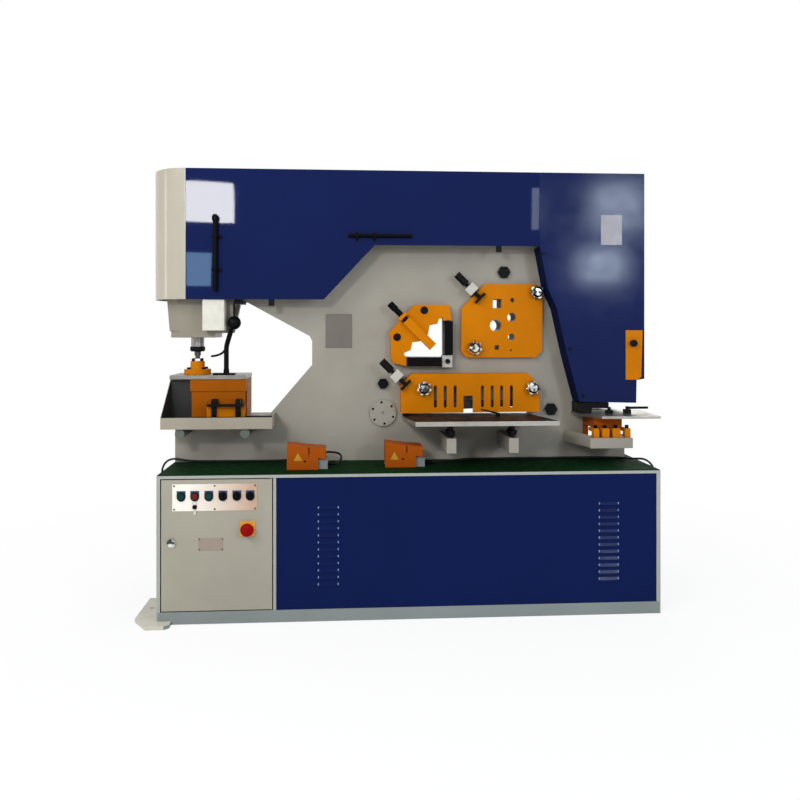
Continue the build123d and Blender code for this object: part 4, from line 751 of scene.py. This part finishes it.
def louvre_ends():
    """Pressed ends of the louvres, in a paler blue that is a painted highlight where the light catches
    them.
    """
    shape = bmesh.new()
    size = Matrix.Diagonal((0.0035, 0.0045, 0.0065, 1.0))
    for column in LOUVRE_COLUMNS:
        for row in range(LOUVRE_ROWS):
            for side in (-LOUVRE_HALF, LOUVRE_HALF):
                place = Matrix.Translation((column + side, -0.4383, LOUVRE_TOP - LOUVRE_PITCH * row))
                bmesh.ops.create_uvsphere(shape, u_segments=12, v_segments=8, radius=1.0,
                                          matrix=place @ size)
    new_piece("louvre_ends", shape, louvre_painted_highlight)


HOSE_RADIUS = 0.0055
HOSE_Y = -0.100
HOSE_PATH = [(-0.901, 1.215), (-0.912, 1.203), (-0.926, 1.195), (-0.943, 1.190), (-0.963, 1.187)]


def lamp_hose():
    """Short hose that leaves the lamp's neck to the left and ends in the air, closed."""
    shape = bmesh.new()
    points = [Vector((x, HOSE_Y, z)) for x, z in HOSE_PATH]
    for start, end in zip(points, points[1:]):
        along = end - start
        bmesh.ops.create_cone(shape, cap_ends=True, segments=16, radius1=HOSE_RADIUS, radius2=HOSE_RADIUS,
                              depth=along.length, matrix=placed((start + end) / 2.0, along))
        bmesh.ops.create_uvsphere(shape, u_segments=16, v_segments=8, radius=HOSE_RADIUS,
                                  matrix=Matrix.Translation(end))
    new_piece("lamp_hose", shape, plastic_black)


KEY_X = -0.981
PIN_PROFILE = [
    (0.0, 0.0), (0.0012, 0.0), (0.0012, 0.004), (0.0024, 0.0042), (0.0024, 0.0052), (0.0, 0.0056),
]
BOW_PROFILE = [
    (0.0, 0.0), (0.0085, 0.0), (0.010, 0.0012), (0.010, 0.0038), (0.0085, 0.005), (0.0, 0.005),
]
RING_RADIUS = 0.009
WIRE_RADIUS = 0.0009


def key_with_tag():
    """Key that hangs by a wire ring from a pin under the stop button, with its pale tag."""
    pin = spun(PIN_PROFILE, FORWARD, (KEY_X, -0.4434, 0.5505), 12)
    new_piece("key_pin", pin, steel_bolt, "door")
    loop = [(RING_RADIUS + WIRE_RADIUS * cos(pi * k / 4), WIRE_RADIUS * sin(pi * k / 4)) for k in range(9)]
    ring = spun(loop, FORWARD, (KEY_X, -0.4460, 0.5410), 32)
    new_piece("key_ring", ring, steel_bright, "door")
    bow = spun(BOW_PROFILE, FORWARD, (KEY_X, -0.4436, 0.5245), 28)
    new_piece("key_bow", bow, plastic_black, "door")
    front_plate("key_tag", rectangle(KEY_X - 0.006, KEY_X + 0.006, 0.491, 0.516), -0.4442, key_card,
                "door", thick=0.0014)


def hood_sign(name, x, z, front):
    """Bare yellow triangle on the front of a pedal's hood."""
    front_plate(name, [(x - 0.020, z), (x + 0.020, z), (x, z + 0.036)], front, plate_yellow)


RIVET_PROFILE = [(0.0, -0.0002), (0.0034, -0.0002), (0.0028, 0.0009), (0.0, 0.0016)]


def plate_rivets():
    """Four rivets at the corners of the door's small plate."""
    for x in (-0.961, -0.860):
        for z in (0.333, 0.379):
            rivet = spun(RIVET_PROFILE, FORWARD, (x, -0.441, z), 12)
            new_piece("rivet", rivet, steel_dark, "door")


hood_sign("left_hood_sign", -0.530, 0.709, LEFT_PEDAL[1])
hood_sign("right_hood_sign", -0.080, 0.704, RIGHT_PEDAL[1])
front_plate("cover_plate", rectangle(0.946, 1.051, 1.735, 1.882), -0.200, plate_pale)
plate_rivets()
louvre_ends()
lamp_hose()
key_with_tag()


# Floor, backdrop and light

def background_rays(nodes, links):
    """1 for rays of the camera and for those that gloss and glass send on."""
    path = nodes.new("ShaderNodeLightPath")
    first = nodes.new("ShaderNodeMath")
    first.operation = "MAXIMUM"
    links.new(path.outputs["Is Camera Ray"], first.inputs[0])
    links.new(path.outputs["Is Glossy Ray"], first.inputs[1])
    second = nodes.new("ShaderNodeMath")
    second.operation = "MAXIMUM"
    links.new(first.outputs["Value"], second.inputs[0])
    links.new(path.outputs["Is Transmission Ray"], second.inputs[1])
    return second.outputs["Value"]


def seen_white(material, shader):
    """The floor looks white as far as it can be seen, and still takes the machine's shadow."""
    nodes = material.node_tree.nodes
    links = material.node_tree.links
    glow = nodes.new("ShaderNodeEmission")
    glow.inputs["Color"].default_value = (1.0, 1.0, 1.0, 1.0)
    glow.inputs["Strength"].default_value = 1.0
    place = nodes.new("ShaderNodeTexCoord")
    reach = nodes.new("ShaderNodeVectorMath")
    reach.operation = "LENGTH"
    links.new(place.outputs["Object"], reach.inputs[0])
    spread = nodes.new("ShaderNodeMapRange")
    spread.inputs["From Min"].default_value = 1.4
    spread.inputs["From Max"].default_value = 3.2
    spread.inputs["To Min"].default_value = 0.86
    spread.inputs["To Max"].default_value = 1.0
    links.new(reach.outputs["Value"], spread.inputs["Value"])
    share = nodes.new("ShaderNodeMath")
    share.operation = "MULTIPLY"
    links.new(background_rays(nodes, links), share.inputs[0])
    links.new(spread.outputs["Result"], share.inputs[1])
    mix = nodes.new("ShaderNodeMixShader")
    links.new(share.outputs["Value"], mix.inputs["Fac"])
    links.new(shader.outputs["BSDF"], mix.inputs[1])
    links.new(glow.outputs["Emission"], mix.inputs[2])
    links.new(mix.outputs["Shader"], nodes["Material Output"].inputs["Surface"])


def lay_floor():
    """Pale floor, wide enough to fill the picture."""
    shape = bmesh.new()
    bmesh.ops.create_grid(shape, x_segments=1, y_segments=1, size=14.0)
    floor = mesh_object("floor", shape, False, SHARP_DEGREES)
    material = bpy.data.materials.new("pale_floor")
    material.use_nodes = True
    nodes = material.node_tree.nodes
    links = material.node_tree.links
    shader = nodes["Principled BSDF"]
    shader.inputs["Roughness"].default_value = 0.9
    shader.inputs["Specular IOR Level"].default_value = 0.1
    place = nodes.new("ShaderNodeTexCoord")
    noise = nodes.new("ShaderNodeTexNoise")
    noise.inputs["Scale"].default_value = 2.0
    ramp = nodes.new("ShaderNodeValToRGB")
    ramp.color_ramp.elements[0].color = (0.80, 0.80, 0.79, 1.0)
    ramp.color_ramp.elements[1].color = (0.84, 0.84, 0.83, 1.0)
    links.new(place.outputs["Object"], noise.inputs["Vector"])
    links.new(noise.outputs["Fac"], ramp.inputs["Fac"])
    links.new(ramp.outputs["Color"], shader.inputs["Base Color"])
    seen_white(material, shader)
    floor.data.materials.append(material)


def set_world():
    """White background to the eye, and a dimmer, slightly cool light on the machine."""
    world = bpy.data.worlds.new("studio")
    bpy.context.scene.world = world
    world.use_nodes = True
    nodes = world.node_tree.nodes
    links = world.node_tree.links
    dim = nodes["Background"]
    dim.inputs["Color"].default_value = (0.95, 0.97, 1.0, 1.0)
    dim.inputs["Strength"].default_value = 0.5
    bright = nodes.new("ShaderNodeBackground")
    bright.inputs["Color"].default_value = (1.0, 1.0, 1.0, 1.0)
    bright.inputs["Strength"].default_value = 1.0
    mix = nodes.new("ShaderNodeMixShader")
    links.new(background_rays(nodes, links), mix.inputs["Fac"])
    links.new(dim.outputs["Background"], mix.inputs[1])
    links.new(bright.outputs["Background"], mix.inputs[2])
    links.new(mix.outputs["Shader"], nodes["World Output"].inputs["Surface"])


WHITE = (1.0, 1.0, 1.0)
SKY = (0.72, 0.85, 1.0)
DEEP_SKY = (0.38, 0.66, 1.0)

# Each lamp: name, place, the point that it faces, its two sides, power in watts and colour.
# The panes and strips are the bright shapes that the gloss of the hoods reflects.
LAMPS = (
    ("window", (-1.636, -4.04, 2.543), (-0.9, -0.2, 1.9), (0.45, 0.36), 46.0, WHITE),
    ("pane", (-1.733, -4.04, 1.916), (-1.0, -0.2, 1.6), (0.23, 0.31), 6.5, DEEP_SKY),
    ("far_pane", (2.36, -4.04, 2.54), (1.0, -0.2, 1.92), (0.5, 0.45), 26.0, SKY),
    ("low_pane", (2.2, -4.04, 1.955), (1.0, -0.2, 1.6), (0.45, 0.3), 20.0, SKY),
    ("strip", (1.541, -4.04, 2.503), (0.7, -0.2, 1.9), (0.07, 0.4), 1.4, SKY),
    ("left_strip", (-4.2, -0.46, 1.75), (-1.17, -0.17, 1.75), (0.3, 1.8), 9.0, WHITE),
    ("key", (-3.7, -3.9, 4.3), (0.0, 0.0, 1.1), (2.4, 2.4), 114.0, WHITE),
    ("fill", (4.2, -4.0, 3.4), (0.2, 0.0, 1.0), (2.2, 2.2), 26.0, WHITE),
    ("overhead", (0.0, 0.4, 5.2), (0.0, 0.0, 1.0), (3.2, 3.2), 90.0, WHITE),
    ("back", (1.5, 4.5, 3.0), (0.0, 0.0, 1.2), (2.5, 2.5), 60.0, WHITE),
)


def hang_lamps():
    """Soft lamps in front, at the sides, above and behind."""
    for name, place, aim, size, power, colour in LAMPS:
        data = bpy.data.lights.new(name, "AREA")
        data.shape = "RECTANGLE"
        data.size, data.size_y = size
        data.energy = power
        data.color = colour
        lamp = linked(name, data)
        lamp.location = place
        direction = Vector(aim) - Vector(place)
        lamp.rotation_euler = direction.to_track_quat("-Z", "Y").to_euler()


lay_floor()
set_world()
hang_lamps()
bpy.context.scene.view_settings.view_transform = "Standard"
